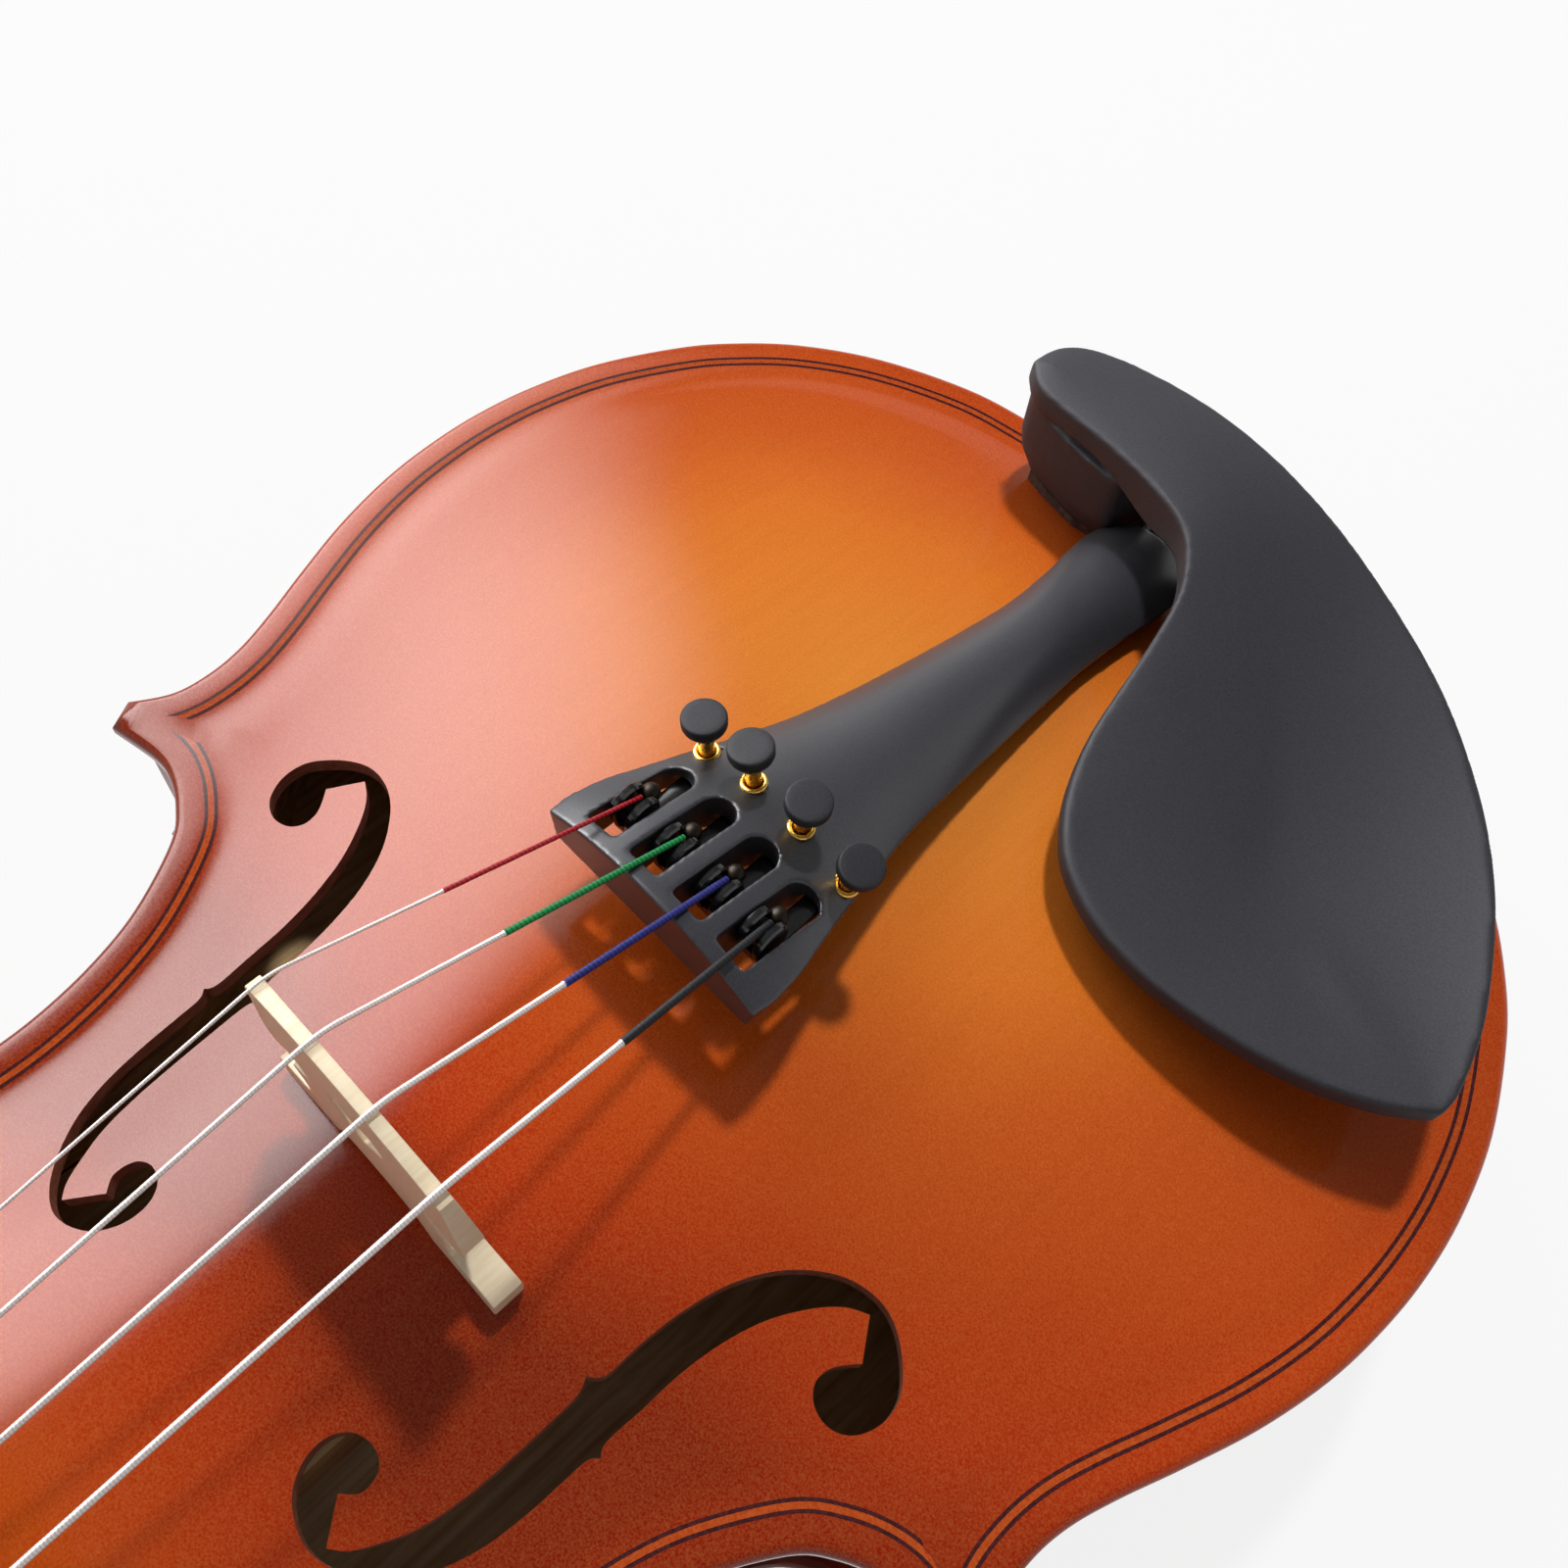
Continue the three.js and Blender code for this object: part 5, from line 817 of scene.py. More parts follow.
def bandPart(a, b, low, high):
    # A closed strip between two lines, from its low to its high surface.
    return loft([[(*p, low(*p)), (*q, low(*q)), (*q, high(*q)), (*p, high(*p))] for p, q in zip(a, b)])


def levelBand(a, b, low, high):
    return bandPart(a, b, lambda x, y: low, lambda x, y: high)


def stack(parts):
    # Several lots of points and faces as one, with a finish number for each lot.
    points, faces, marks = [], [], []
    shift = 0
    for (somePoints, someFaces), mark in parts:
        points.append(somePoints)
        faces += [[v + shift for v in face] for face in someFaces]
        marks += [mark] * len(someFaces)
        shift += len(somePoints)
    return np.vstack(points), faces, marks


fineLower, fineWaist, fineUpper = outlineParts(30)
wholeLower = np.vstack([mirrored(fineLower)[:-1], fineLower])
wholeUpper = np.vstack([fineUpper, mirrored(fineUpper)[1:]])
purflingSettings = {"insets": (4.4, 4.9, 5.75, 6.25), "under": -0.3, "proud": 0.03, "cornerProud": 0.13,
                    "cornerReach": 7}


def makePurfling(name, back, p=purflingSettings):
    # Dark, light and dark strips, which stand a little prouder at the corners.
    joint, way = jointOf(back)
    ends = ((fineLower[-1] + fineWaist[0]) / 2, (fineWaist[-1] + fineUpper[0]) / 2)
    corners = [(side * x, y) for side in (1, -1) for x, y in ends]

    def surface(lift, cornerLift):
        def height(x, y):
            d, _ = edgeDistance(np.array([x]), np.array([y]))
            near = min(math.hypot(x - cx, y - cy) for cx, cy in corners)
            proud = lift + cornerLift * math.exp(-(near / p["cornerReach"]) ** 2)
            return float(joint + way * (outsideHeight(x, y, d[0], back) + proud))
        return height

    low, high = surface(p["under"], 0), surface(p["proud"], p["cornerProud"])
    parts = []
    for path, count in ((wholeLower, 420), (fineWaist, 170), (mirrored(fineWaist), 170), (wholeUpper, 380)):
        lines = [bandLine(path, inset, count) for inset in p["insets"]]
        for a, b, mark in zip(lines, lines[1:], (0, 1, 0)):
            parts.append((bandPart(a, b, low, high), mark))
    return tidyMesh(meshPiece(name, *stack(parts)), merge=0.0001)


for name, slot in (("bellyPurfling", "varnished_spruce"), ("backPurfling", "varnished_maple")):
    isBack = name == "backPurfling"
    piece = makePurfling(name, isBack)
    if not isBack:
        cutEnds(piece, 0.1)
    settle(piece, "violin", ["purflingDark", "purflingLight"], slot)
print("purfling made")

ribSettings = {"inset": 2.5, "thick": 1.2, "lining": 2.0, "liningHigh": 8.0, "low": 15.2, "high": 45.8}


def makeRib(name, path, count, skipEnds, skipMiddle, s=ribSettings):
    # A rib with its linings, which stop short of the blocks at its ends and at its middle.
    outer = bandLine(path, s["inset"], count)
    inner = bandLine(path, s["inset"] + s["thick"], count)
    deep = bandLine(path, s["inset"] + s["thick"] + s["lining"], count)
    parts = [(levelBand(outer, inner, s["low"], s["high"]), 0)]
    total = np.linalg.norm(np.diff(path, axis=0), axis=1).sum()
    spans = [(skipEnds[0] / total, 1 - skipEnds[1] / total)]
    if skipMiddle:
        gap = skipMiddle / total
        spans = [(spans[0][0], 0.5 - gap), (0.5 + gap, spans[0][1])]
    for start, stop in spans:
        i, j = int(start * count), int(stop * count)
        for low in (s["low"], s["high"] - s["liningHigh"]):
            parts.append((levelBand(inner[i:j], deep[i:j], low, low + s["liningHigh"]), 1))
    piece = tidyMesh(meshPiece(name, *stack(parts)), merge=0.0001)
    return smoothShade(piece, 30)


heelHalf = 15.8
upperTreble = fineUpper[fineUpper[:, 0] > heelHalf + 0.2]
ribRows = (
    ("lowerRibBand", wholeLower, 420, (24, 24), 27, "lower_rib"),
    ("waistRibTreble", fineWaist, 170, (24, 24), 0, "c_rib_treble"),
    ("waistRibBass", mirrored(fineWaist), 170, (24, 24), 0, "c_rib_bass"),
    ("upperRibTreble", upperTreble, 200, (24, 12), 0, "upper_rib_treble"),
    ("upperRibBass", mirrored(upperTreble), 200, (12, 24), 0, "upper_rib_bass"),
)
for name, path, count, ends, middle, node in ribRows:
    piece = makeRib(name, path, count, ends, middle)
    settle(piece, "violin", ["varnishedMaple", "bareSpruce"], "varnished_maple", node)
print("ribs made")


# Bridge
bridgeSettings = {
    "half": 21, "foot": 4.6, "top": 1.7, "bellyTop": 61.5, "high": 38.5, "radius": 42, "fall": 0.04,
    "bevel": 0.25,
}
bridgeSideShares = [
    [1.01, 0.06], [0.93, 0.1], [0.72, 0.13], [0.63, 0.19], [0.64, 0.28], [0.72, 0.33], [0.6, 0.38],
    [0.5, 0.44], [0.56, 0.51], [0.66, 0.52], [0.77, 0.46], [0.85, 0.49], [0.87, 0.56], [0.85, 0.66],
    [0.83, 0.78], [0.82, 0.86],
]
bridgeFootShares = [0.44, 0.62, 0.8, 1]
bridgeTopShares = [0.8, 0.62, 0.42, 0.2]
bridgeArchShares = [[0.4, 0.06], [0.32, 0.11], [0.17, 0.145], [0, 0.155]]
bridgeHeartShares = [
    [0, 0.47], [0.1, 0.53], [0.21, 0.6], [0.22, 0.67], [0.15, 0.71], [0.07, 0.68], [0, 0.62],
]


def sagitta(half, radius):
    return radius - math.sqrt(radius * radius - half * half)


def bridgeTopAt(x, s=bridgeSettings):
    return s["bellyTop"] + s["high"] - sagitta(abs(x), s["radius"]) - s["fall"] * x


def bellyHeight(x, y):
    d, _ = edgeDistance(np.array([x]), np.array([y]))
    return float(boxSettings["topJoint"] + outsideHeight(x, y, d[0], False))


def makeBridge(s=bridgeSettings):
    # Upright on the side of the fingerboard, sloping on its tail side.
    up = lambda share: s["bellyTop"] + share * s["high"]

    def half(side):
        rows = [(x, up(y)) for x, y in bridgeArchShares][::-1]
        rows = rows if side > 0 else rows[1:]
        rows += [(x, bellyHeight(side * x * s["half"], 0) + 0.1) for x in bridgeFootShares]
        rows += [(x, up(y)) for x, y in bridgeSideShares]
        rows += [(x, bridgeTopAt(side * x * s["half"])) for x in bridgeTopShares]
        return [(side * x * s["half"], z) for x, z in rows]

    blade = smoothLoop(half(1) + [(0, bridgeTopAt(0))] + half(-1)[::-1], 6, 48)
    heart = [(x * s["half"], up(y)) for x, y in bridgeHeartShares]
    heart = smoothLoop(heart + [(-x, z) for x, z in heart[::-1][1:-1]], 6, 60)
    curve = bpy.data.curves.new("bridgeBlade", "CURVE")
    curve.dimensions = "2D"
    curve.fill_mode = "BOTH"
    curve.extrude = (s["foot"] / 2 - s["bevel"]) / 1000
    curve.bevel_depth = s["bevel"] / 1000
    curve.offset = -s["bevel"] / 1000
    curve.bevel_resolution = 3
    for line in (blade, heart):
        spline = curve.splines.new("POLY")
        spline.points.add(len(line) - 1)
        for point, (x, z) in zip(spline.points, line):
            point.co = (x / 1000, z / 1000, 0, 1)
        spline.use_cyclic_u = True
    piece = bpy.data.objects.new("bridgeBlade", curve)
    scene.collection.objects.link(piece)
    pickOnly(piece)
    bpy.ops.object.convert(target="MESH")
    piece = bpy.context.view_layer.objects.active
    for vertex in piece.data.vertices:
        x, z, y = vertex.co
        share = max(0, (z * 1000 - s["bellyTop"]) / s["high"])
        foot = s["foot"] / 1000
        vertex.co = (x, foot / 2 - (foot / 2 + y) * (1 + (s["top"] / s["foot"] - 1) * share), z)
    return smoothShade(tidyMesh(piece, merge=0.0005), 30)


bridgeBlade = makeBridge()
settle(bridgeBlade, "violin", ["bridgeMaple"], "bare_maple", "bridge")
print("bridge made:", len(bridgeBlade.data.polygons), "faces")

# Tailpiece with its slots
tailSettings = {
    "front": 41, "length": 114.5, "half": 19.5, "frontHigh": 84, "endHigh": 61.5, "floorShare": 0.94,
    "slotWide": 5.2, "slotFront": 2.6, "slotLong": 15.6, "spacing": 8,
    "pocketHalf": 1.95, "pocketBack": 25.5, "pocketLow": 54, "pocketHigh": 74.9,
    "holeRadius": 1.5, "holeDeep": 9.7,
    "pivotBack": 8.6, "pivotHigh": 74.8, "leverArm": 16.6, "screwBack": 23, "screwSpread": 1.12,
    "leans": (-11, -3, 10, 8),
}
tailWidthShares = [
    [0, 0.985], [0.03, 1], [0.08, 0.965], [0.12, 0.905], [0.17, 0.835], [0.22, 0.77], [0.27, 0.71],
    [0.34, 0.63], [0.43, 0.57], [0.53, 0.52], [0.65, 0.465], [0.75, 0.43], [0.84, 0.45], [0.92, 0.49],
    [0.97, 0.48], [1, 0.42],
]
tailCrestShares = [
    [0, 1], [0.08, 0.925], [0.17, 0.82], [0.27, 0.69], [0.43, 0.49], [0.65, 0.25], [0.82, 0.11], [0.95, 0.04],
    [1, 0],
]
tailDropShares = [[0, 0.235], [0.17, 0.245], [0.34, 0.285], [0.52, 0.305], [0.78, 0.28], [1, 0.23]]
tailDepthShares = [
    [0, 0.52], [0.17, 0.45], [0.27, 0.42], [0.43, 0.4], [0.65, 0.39], [0.82, 0.37], [0.95, 0.36], [1, 0.33],
]


def tailY(share, s=tailSettings):
    return -s["front"] - share * s["length"]


def tailCrest(share, s=tailSettings):
    return s["endHigh"] + readTable(tailCrestShares, share) * (s["frontHigh"] - s["endHigh"])


def tailTop(x, share, s=tailSettings):
    half = readTable(tailWidthShares, share) * s["half"]
    across = np.minimum(np.abs(x) / half, 1)
    return tailCrest(share) - readTable(tailDropShares, share) * s["half"] * across ** 2.2


def slotX(k, s=tailSettings):
    return (k - 1.5) * s["spacing"]


def screwAxis(k, s=tailSettings):
    lean = math.radians(s["leans"][k])
    return Vector((math.sin(lean), 0, math.cos(lean)))


def screwFoot(k, s=tailSettings):
    x = slotX(k) * s["screwSpread"]
    share = s["screwBack"] / s["length"]
    return Vector((x, float(tailY(share)), float(tailTop(x, share))))


def makeTailpiece(s=tailSettings):
    # A bar with a slot for each lever, a hole for each screw and a pocket under both.
    loops = []
    for share in np.linspace(0, 1, 90):
        half = float(readTable(tailWidthShares, share)) * s["half"]
        floor = float(tailCrest(share) - readTable(tailDepthShares, share) * s["half"])
        y = tailY(share)
        loop = [(half * s["floorShare"], y, floor), (-half * s["floorShare"], y, floor)]
        loops.append(loop + [(x, y, float(tailTop(x, share))) for x in np.linspace(-half, half, 33)])
    piece = loftPiece("tailpieceBar", loops)
    for k in range(4):
        x, half = slotX(k), s["slotWide"] / 2
        front = -s["front"] - s["slotFront"]
        back = front - s["slotLong"] + half
        halfTurn = np.linspace(math.pi, 2 * math.pi, 17)
        end = [(x + half * math.cos(a), back + half * math.sin(a)) for a in halfTurn]
        line = np.array([(x + half, front), (x - half, front)] + end)
        cutOut(piece, prism("cutter", line, s["pivotHigh"] - s["half"], s["frontHigh"] + 4))
        holeRows = [(s["holeRadius"], -s["holeDeep"]), (s["holeRadius"], 2)]
        cutOut(piece, turned("cutter", holeRows, 24, screwFoot(k), screwAxis(k)))
        low = (x - s["pocketHalf"], -s["front"] - s["pocketBack"], s["pocketLow"])
        cutOut(piece, boxPiece("cutter", low, (x + s["pocketHalf"], back, s["pocketHigh"])))
    return soften(piece, 0.34, 5)


tailpieceBar = makeTailpiece()
settle(tailpieceBar, "violin", ["tailpiecePlastic"], "tailpiece_plastic", "tailpiece")
print("tailpiece made:", len(tailpieceBar.data.polygons), "faces")


# Fine tuners: levers, screws, knobs, ball ends and the pin
tunerSettings = {
    "cheeks": ((-2.1, -0.85), (0.85, 2.1)), "bevel": 0.3,
    "hub": (0, -0.3, 2.2), "hubRows": [(1.3, -1), (1.3, 1)], "bossRows": [(1.9, -1.2), (1.9, 1.2)],
    "armHalf": 1.5, "armFront": 0.5, "armLow": 1.9, "armHigh": 0.2,
    "ball": (0, -2.745, 5.487), "ballRadius": 1.35,
    "beadMiddle": 1.6, "beadThick": 0.38, "thread": 0.42,
}
# Side view of a lever's fork: a boss on the pin, rising to a round nose, as Y and Z from the pin.
cheekPoints = [
    (1.3, -1.6), (2.1, 0.2), (2.6, 2.0), (2.9, 4.2), (2.5, 6.1), (1.2, 7.2), (-0.3, 7.5),
    (-1.8, 7.0), (-2.6, 5.7), (-2.65, 3.9), (-2.4, 2.0), (-2.2, 0.3), (-1.6, -1.5), (-0.2, -2.1),
]
# Radius and height from the screw's foot on the tailpiece.
knobRows = [
    (0, 6), (2.3, 6), (2.75, 6.1), (3.05, 6.35), (3.2, 6.75), (3.2, 7.9), (3.15, 8.1), (3.02, 8.22),
    (2.85, 8.27), (2.0, 8.29), (1.0, 8.3), (0, 8.3),
]
pinRows = [(0, -17.1), (0.8, -17.1), (0.95, -16.9), (0.95, 16.9), (0.8, 17.1), (0, 17.1)]


def softDisc(name, rows, foot, axis, sides):
    return smoothShade(turned(name, rows, sides, foot, axis), 40)


def pivotAt(x, s=tailSettings):
    return Vector((x, -s["front"] - s["pivotBack"], s["pivotHigh"]))


def ballCentre(k):
    return pivotAt(slotX(k)) + Vector(tunerSettings["ball"])


def makeLever(name, k, s=tunerSettings):
    centre = pivotAt(slotX(k))
    line = smoothLoop(cheekPoints, 5, 90)
    outward = line - line.mean(0)
    shrunk = line - outward / np.linalg.norm(outward, axis=1)[:, None] * s["bevel"]
    parts = []
    for low, high in s["cheeks"]:
        sections = ((low, shrunk), (low + s["bevel"], line), (high - s["bevel"], line), (high, shrunk))
        loops = [[(centre.x + x, centre.y + y, centre.z + z) for y, z in side] for x, side in sections]
        parts.append(loftPiece("cheek", loops))
    parts.append(turned("hub", s["hubRows"], 32, centre + Vector(s["hub"]), (1, 0, 0)))
    parts.append(turned("boss", s["bossRows"], 32, centre, (1, 0, 0)))
    low = centre - Vector((s["armHalf"], tailSettings["leverArm"], s["armLow"]))
    arm = boxPiece("arm", low, centre + Vector((s["armHalf"], -s["armFront"], -s["armHigh"])))
    parts.append(applyModifier(arm, "BEVEL", width=s["bevel"] / 1000, segments=3))
    return smoothShade(joined(name, parts), 40)


def makeBushing(name, foot, axis, s=tunerSettings):
    # A brass bead on the tailpiece, which the screw runs through.
    bpy.ops.object.select_all(action="DESELECT")
    turn = axis.to_track_quat("Z", "Y").to_euler()
    bpy.ops.mesh.primitive_torus_add(
        location=(foot + axis * s["beadThick"]) / 1000, rotation=turn, major_segments=40, minor_segments=14,
        major_radius=s["beadMiddle"] / 1000, minor_radius=s["beadThick"] / 1000)
    bpy.ops.object.transform_apply(location=True, rotation=True, scale=True)
    piece = bpy.context.view_layer.objects.active
    piece.name = name
    return smoothShade(piece, 60)


def screwRows(reach, pitch=tunerSettings["thread"]):
    # Radius and height of a screw: its point, the turns of its thread, a plain shank and a head for the knob.
    rows = [(0, -reach), (0.72, -reach), (1.15, -reach + 1)]
    for i in range(int(reach / pitch) - 3):
        rows += [(1.18, -reach + 1.2 + i * pitch), (1.02, -reach + 1.41 + i * pitch)]
    return rows + [(1.15, 0.5), (1.15, 3.4), (1.35, 3.8), (1.6, 4.1), (1.6, 5.7), (0, 5.7)]


ballRows = [(tunerSettings["ballRadius"] * math.sin(a), -tunerSettings["ballRadius"] * math.cos(a))
            for a in np.linspace(0, math.pi, 17)]
stringLetters = "gdae"
for k, letter in enumerate(stringLetters):
    foot, axis = screwFoot(k), screwAxis(k)
    reach = (foot.z - tailSettings["pocketHigh"]) / axis.z
    screw, knob, lever = [letter + "_tuner_" + each for each in ("screw", "knob", "lever")]
    settle(softDisc(letter + "Screw", screwRows(reach), foot, axis, 40), screw, ["brass"], "brass", screw)
    settle(makeBushing(letter + "Bushing", foot, axis), "violin", ["brass"], "brass")
    piece = softDisc(letter + "Knob", knobRows, foot, axis, 64)
    settle(piece, knob, ["knobPlastic"], "tailpiece_plastic", knob)
    settle(makeLever(letter + "Lever", k), lever, ["leverBlack"], "lever_black", lever)
    # The ball ends take the darkened brass: painted shade of the lever slots.
    piece = softDisc(letter + "Ball", ballRows, ballCentre(k), (1, 0, 0), 32)
    settle(piece, lever, ["ballBrassPaintedShade"], "brass", letter + "_ball_end")
crossPin = softDisc("crossPin", pinRows, pivotAt(0), (1, 0, 0), 32)
settle(crossPin, "violin", ["nickel"], "nickel", "tuner_pivot_rod")
print("tuners made")


# Fingerboard
boardSettings = {
    "reach": 56, "nutY": 320, "endHalf": 21.25, "nutHalf": 12, "radius": 42, "edge": 5, "overstand": 6.8,
    "tilt": 8,
    "ends": ((56, 0.6), (56.2, 0.25), (56.6, 0), (319.8, 0)), "bevel": 0.4,
}


def boardUnder(y, s=boardSettings, box=boxSettings):
    belly = box["topJoint"] + box["plateEdge"]
    return belly + s["overstand"] - (y - box["topY"]) * math.tan(math.radians(s["tilt"]))


def boardHalf(y, s=boardSettings):
    share = (y - s["reach"]) / (s["nutY"] - s["reach"])
    return s["endHalf"] + (s["nutHalf"] - s["endHalf"]) * share


def crownHeight(x, y, s=boardSettings):
    half = boardHalf(y)
    return boardUnder(y) + s["edge"] + sagitta(half, s["radius"]) - sagitta(abs(x), s["radius"])


def crownedLoop(y, inset):
    half = boardHalf(y) - inset
    low = boardUnder(y) + 0.2 + inset
    crown = [(x, y, crownHeight(x, y) - inset) for x in np.linspace(-half, half, 33)]
    return [(half, y, low), (-half, y, low)] + crown


board = loftPiece("fingerboardCrown", [crownedLoop(y, inset) for y, inset in boardSettings["ends"]])
applyModifier(board, "BEVEL", width=boardSettings["bevel"] / 1000, segments=3, angle_limit=math.radians(40))
settle(smoothShade(board, 30), "violin", ["ebony"], "ebony", "fingerboard")

# Strings
stringSettings = {
    "radii": (0.42, 0.38, 0.33, 0.22), "bridgeGap": 10.4, "nutGap": 5.4, "nutMiddle": 322.75, "nutHigh": 0.6,
    "lift": 0.5, "bend": 2.5, "ballGap": 1.65,
    "silkFrom": -45, "silkTo": (-24.5, -24.0, -23.0, -21.5), "silkOver": 0.1,
    "turns": 2, "turnGap": 0.5, "around": (1.75, 1.45, 1.1, 0.8, 0.5),
}
headSettings = {
    "start": 325.5, "wide": 24.6, "endWide": 14.4, "length": 80, "wall": 4.3, "wallGap": 0.3,
    "pegs": (15, 45, 60, 30), "sides": (-1, -1, 1, 1), "pegDrop": 7.5, "turnRadius": 4.3,
}


def headPlace(x, along, rise, h=headSettings):
    tilt = math.radians(boardSettings["tilt"])
    return Vector((x, h["start"] + along * math.cos(tilt) + rise * math.sin(tilt),
                   boardUnder(h["start"]) - along * math.sin(tilt) + rise * math.cos(tilt)))


def turnPitch(k, s=stringSettings):
    return 2 * s["radii"][k] + s["turnGap"]


def windingLane(k, s=stringSettings, h=headSettings):
    # Where the turns start, from the middle of the pegbox: they end beside its wall.
    half = (h["wide"] + (h["endWide"] - h["wide"]) * h["pegs"][k] / h["length"]) / 2
    return half - h["wall"] - h["wallGap"] - s["radii"][k] - (s["turns"] + 1) * turnPitch(k)


def stringStations(k, s=stringSettings, h=headSettings):
    # From the ball end over the bridge and the nut to the first turn on the peg, with a short bend at each.
    ball = ballCentre(k)
    lift = s["radii"][k] + s["lift"]
    bridgeX, nutX = (k - 1.5) * s["bridgeGap"], (k - 1.5) * s["nutGap"]
    overBridge = Vector((bridgeX, 0, bridgeTopAt(bridgeX) + lift + s["lift"] / 2))
    nutTop = crownHeight(nutX, boardSettings["nutY"]) + s["nutHigh"]
    overNut = Vector((nutX, s["nutMiddle"], nutTop + lift + s["lift"]))
    start = ball.lerp(overBridge, s["ballGap"] / (overBridge - ball).length)
    wound = h["turnRadius"] + s["radii"][k]
    laneX = h["sides"][k] * windingLane(k)
    around = [headPlace(laneX, h["pegs"][k] + wound * math.cos(a), -h["pegDrop"] + wound * math.sin(a))
              for a in s["around"]]
    corners = [start, overBridge, overNut, *around]
    stations = [start]
    for before, at, after in zip(corners, corners[1:], corners[2:]):
        enter = at.lerp(before, min(s["bend"], (at - before).length / 2.2) / (at - before).length)
        leave = at.lerp(after, min(s["bend"], (at - after).length / 2.2) / (at - after).length)
        for t in np.linspace(0, 1, 9):
            stations.append(enter.lerp(at, t).lerp(at.lerp(leave, t), t))
    stations.append(corners[-1])
    for y in (s["silkFrom"], s["silkTo"][k], s["silkTo"][k] + 0.15):
        stations = splitAt(stations, y)
    return stations


def splitAt(stations, y):
    # Adds a station at a place along Y, so that a finish can change there.
    for i, (a, b) in enumerate(zip(stations, stations[1:])):
        if a.y < y <= b.y:
            middle = a.lerp(b, (y - a.y) / (b.y - a.y))
            return stations[:i + 1] + [middle] + stations[i + 1:]
    return stations


def isSilk(k, y, s=stringSettings):
    return s["silkFrom"] - 8 < y < s["silkTo"][k] + 0.05


def makeString(name, k, s=stringSettings):
    stations = stringStations(k)
    radii = [s["radii"][k] + (s["silkOver"] if isSilk(k, at.y) else 0) for at in stations]
    marks = [1 if isSilk(k, (a.y + b.y) / 2) else 0 for a, b in zip(stations, stations[1:])]
    return smoothShade(sweepTube(name, stations, radii, 20, marks), 60)


def makeWinding(name, k, s=stringSettings, h=headSettings):
    radius = s["radii"][k]
    pitch = turnPitch(k)
    first = windingLane(k) + pitch
    wound = h["turnRadius"] + radius
    centre = headPlace(0, h["pegs"][k], -h["pegDrop"])
    coil = []
    for a in np.linspace(0, 2 * math.pi * s["turns"], 97):
        across = h["sides"][k] * (first + pitch * a / (2 * math.pi))
        coil.append(centre + Vector((across, wound * math.cos(a), wound * math.sin(a))))
    return smoothShade(sweepTube(name, coil, [radius] * len(coil), 16), 60)


for k, letter in enumerate(stringLetters):
    node = letter + "_string"
    settle(makeString(letter + "Wire", k), "violin", ["steelWire", letter + "Silk"], "string_wire", node)
    piece = makeWinding(letter + "Winding", k)
    settle(piece, letter + "_peg", ["steelWire"], "string_wire", node + "_winding")
print("strings made")

# Chin rest
chinSettings = {
    "cornerX": 33.5, "cornerY": -171.2, "base": 50, "long": 122, "deep": 83, "high": 22, "thick": 7,
    "rimDrop": 1.3, "rimRaise": 1.0, "rimShare": 0.035, "lip": 3.5, "lipHalf": 9,
    "smoothFrom": 3.5, "smoothAbove": 62,
    "levels": (0, 0.004, 0.012, 0.024, 0.038, 0.055, 0.08, 0.12, 0.17, 0.24, 0.33, 0.43, 0.55, 0.7, 0.85, 1),
    "footSections": ((53.6, 0.96, 0), (54.6, 1, 0), (58.5, 1, 0.75), (61.8, 1, 1), (70.02, 1.02, 1)),
    "grooveX": 21, "grooveHalf": 1.9, "grooveFrom": (-178.6, 50), "grooveTo": (-157.2, 56.6),
}
chinRearShares = [
    [0, 0.171, 1.13], [0.008, 0.098, 1.13], [0.049, 0.045, 1.14], [0.131, 0.014, 1.17], [0.23, 0.002, 1.2],
    [0.336, 0.008, 1.19], [0.451, 0.038, 1.15], [0.566, 0.091, 1.09], [0.672, 0.162, 1.05],
    [0.754, 0.241, 1.02], [0.832, 0.343, 1], [0.893, 0.451, 0.98], [0.938, 0.56, 0.96], [0.975, 0.674, 0.93],
    [0.997, 0.79, 0.89], [0.996, 0.838, 0.87],
]
chinFrontShares = [
    [0, 0.171, 1.13], [0.037, 0.217, 1.14], [0.094, 0.234, 1.17], [0.168, 0.246, 1.21], [0.25, 0.267, 1.24],
    [0.316, 0.298, 1.25], [0.352, 0.34, 1.22], [0.383, 0.412, 1.15], [0.402, 0.52, 1.05],
    [0.416, 0.629, 0.97], [0.43, 0.725, 0.92], [0.451, 0.81, 0.88], [0.479, 0.882, 0.85], [0.52, 0.942, 0.81],
    [0.586, 0.984, 0.78], [0.66, 0.998, 0.77], [0.738, 0.99, 0.77], [0.824, 0.964, 0.78], [0.889, 0.933, 0.8],
    [0.951, 0.888, 0.84], [0.996, 0.838, 0.87],
]
chinSpineShares = [
    [0.05, 0.15, 1.19], [0.1, 0.14, 1.21], [0.27, 0.15, 1.28], [0.4, 0.21, 1.2], [0.55, 0.4, 0.92],
    [0.66, 0.6, 0.72], [0.76, 0.72, 0.7], [0.85, 0.77, 0.76], [0.9, 0.8, 0.8],
]
footShares = {
    "treble": [
        (0.032, 0.135), (0.045, 0.177), (0.086, 0.195), (0.152, 0.212), (0.201, 0.202), (0.213, 0.159),
        (0.221, 0.117), (0.221, 0.084), (0.032, 0.084),
    ],
    "trebleFlare": [
        (0.012, 0.15), (0.03, 0.2), (0.09, 0.225), (0.16, 0.237), (0.205, 0.235), (0.215, 0.2),
        (0.221, 0.117), (0.221, 0.084), (0.032, 0.084),
    ],
    "bass": [
        (0.385, 0.084), (0.385, 0.235), (0.43, 0.26), (0.57, 0.26), (0.615, 0.225), (0.605, 0.175),
        (0.56, 0.125), (0.5, 0.084),
    ],
}


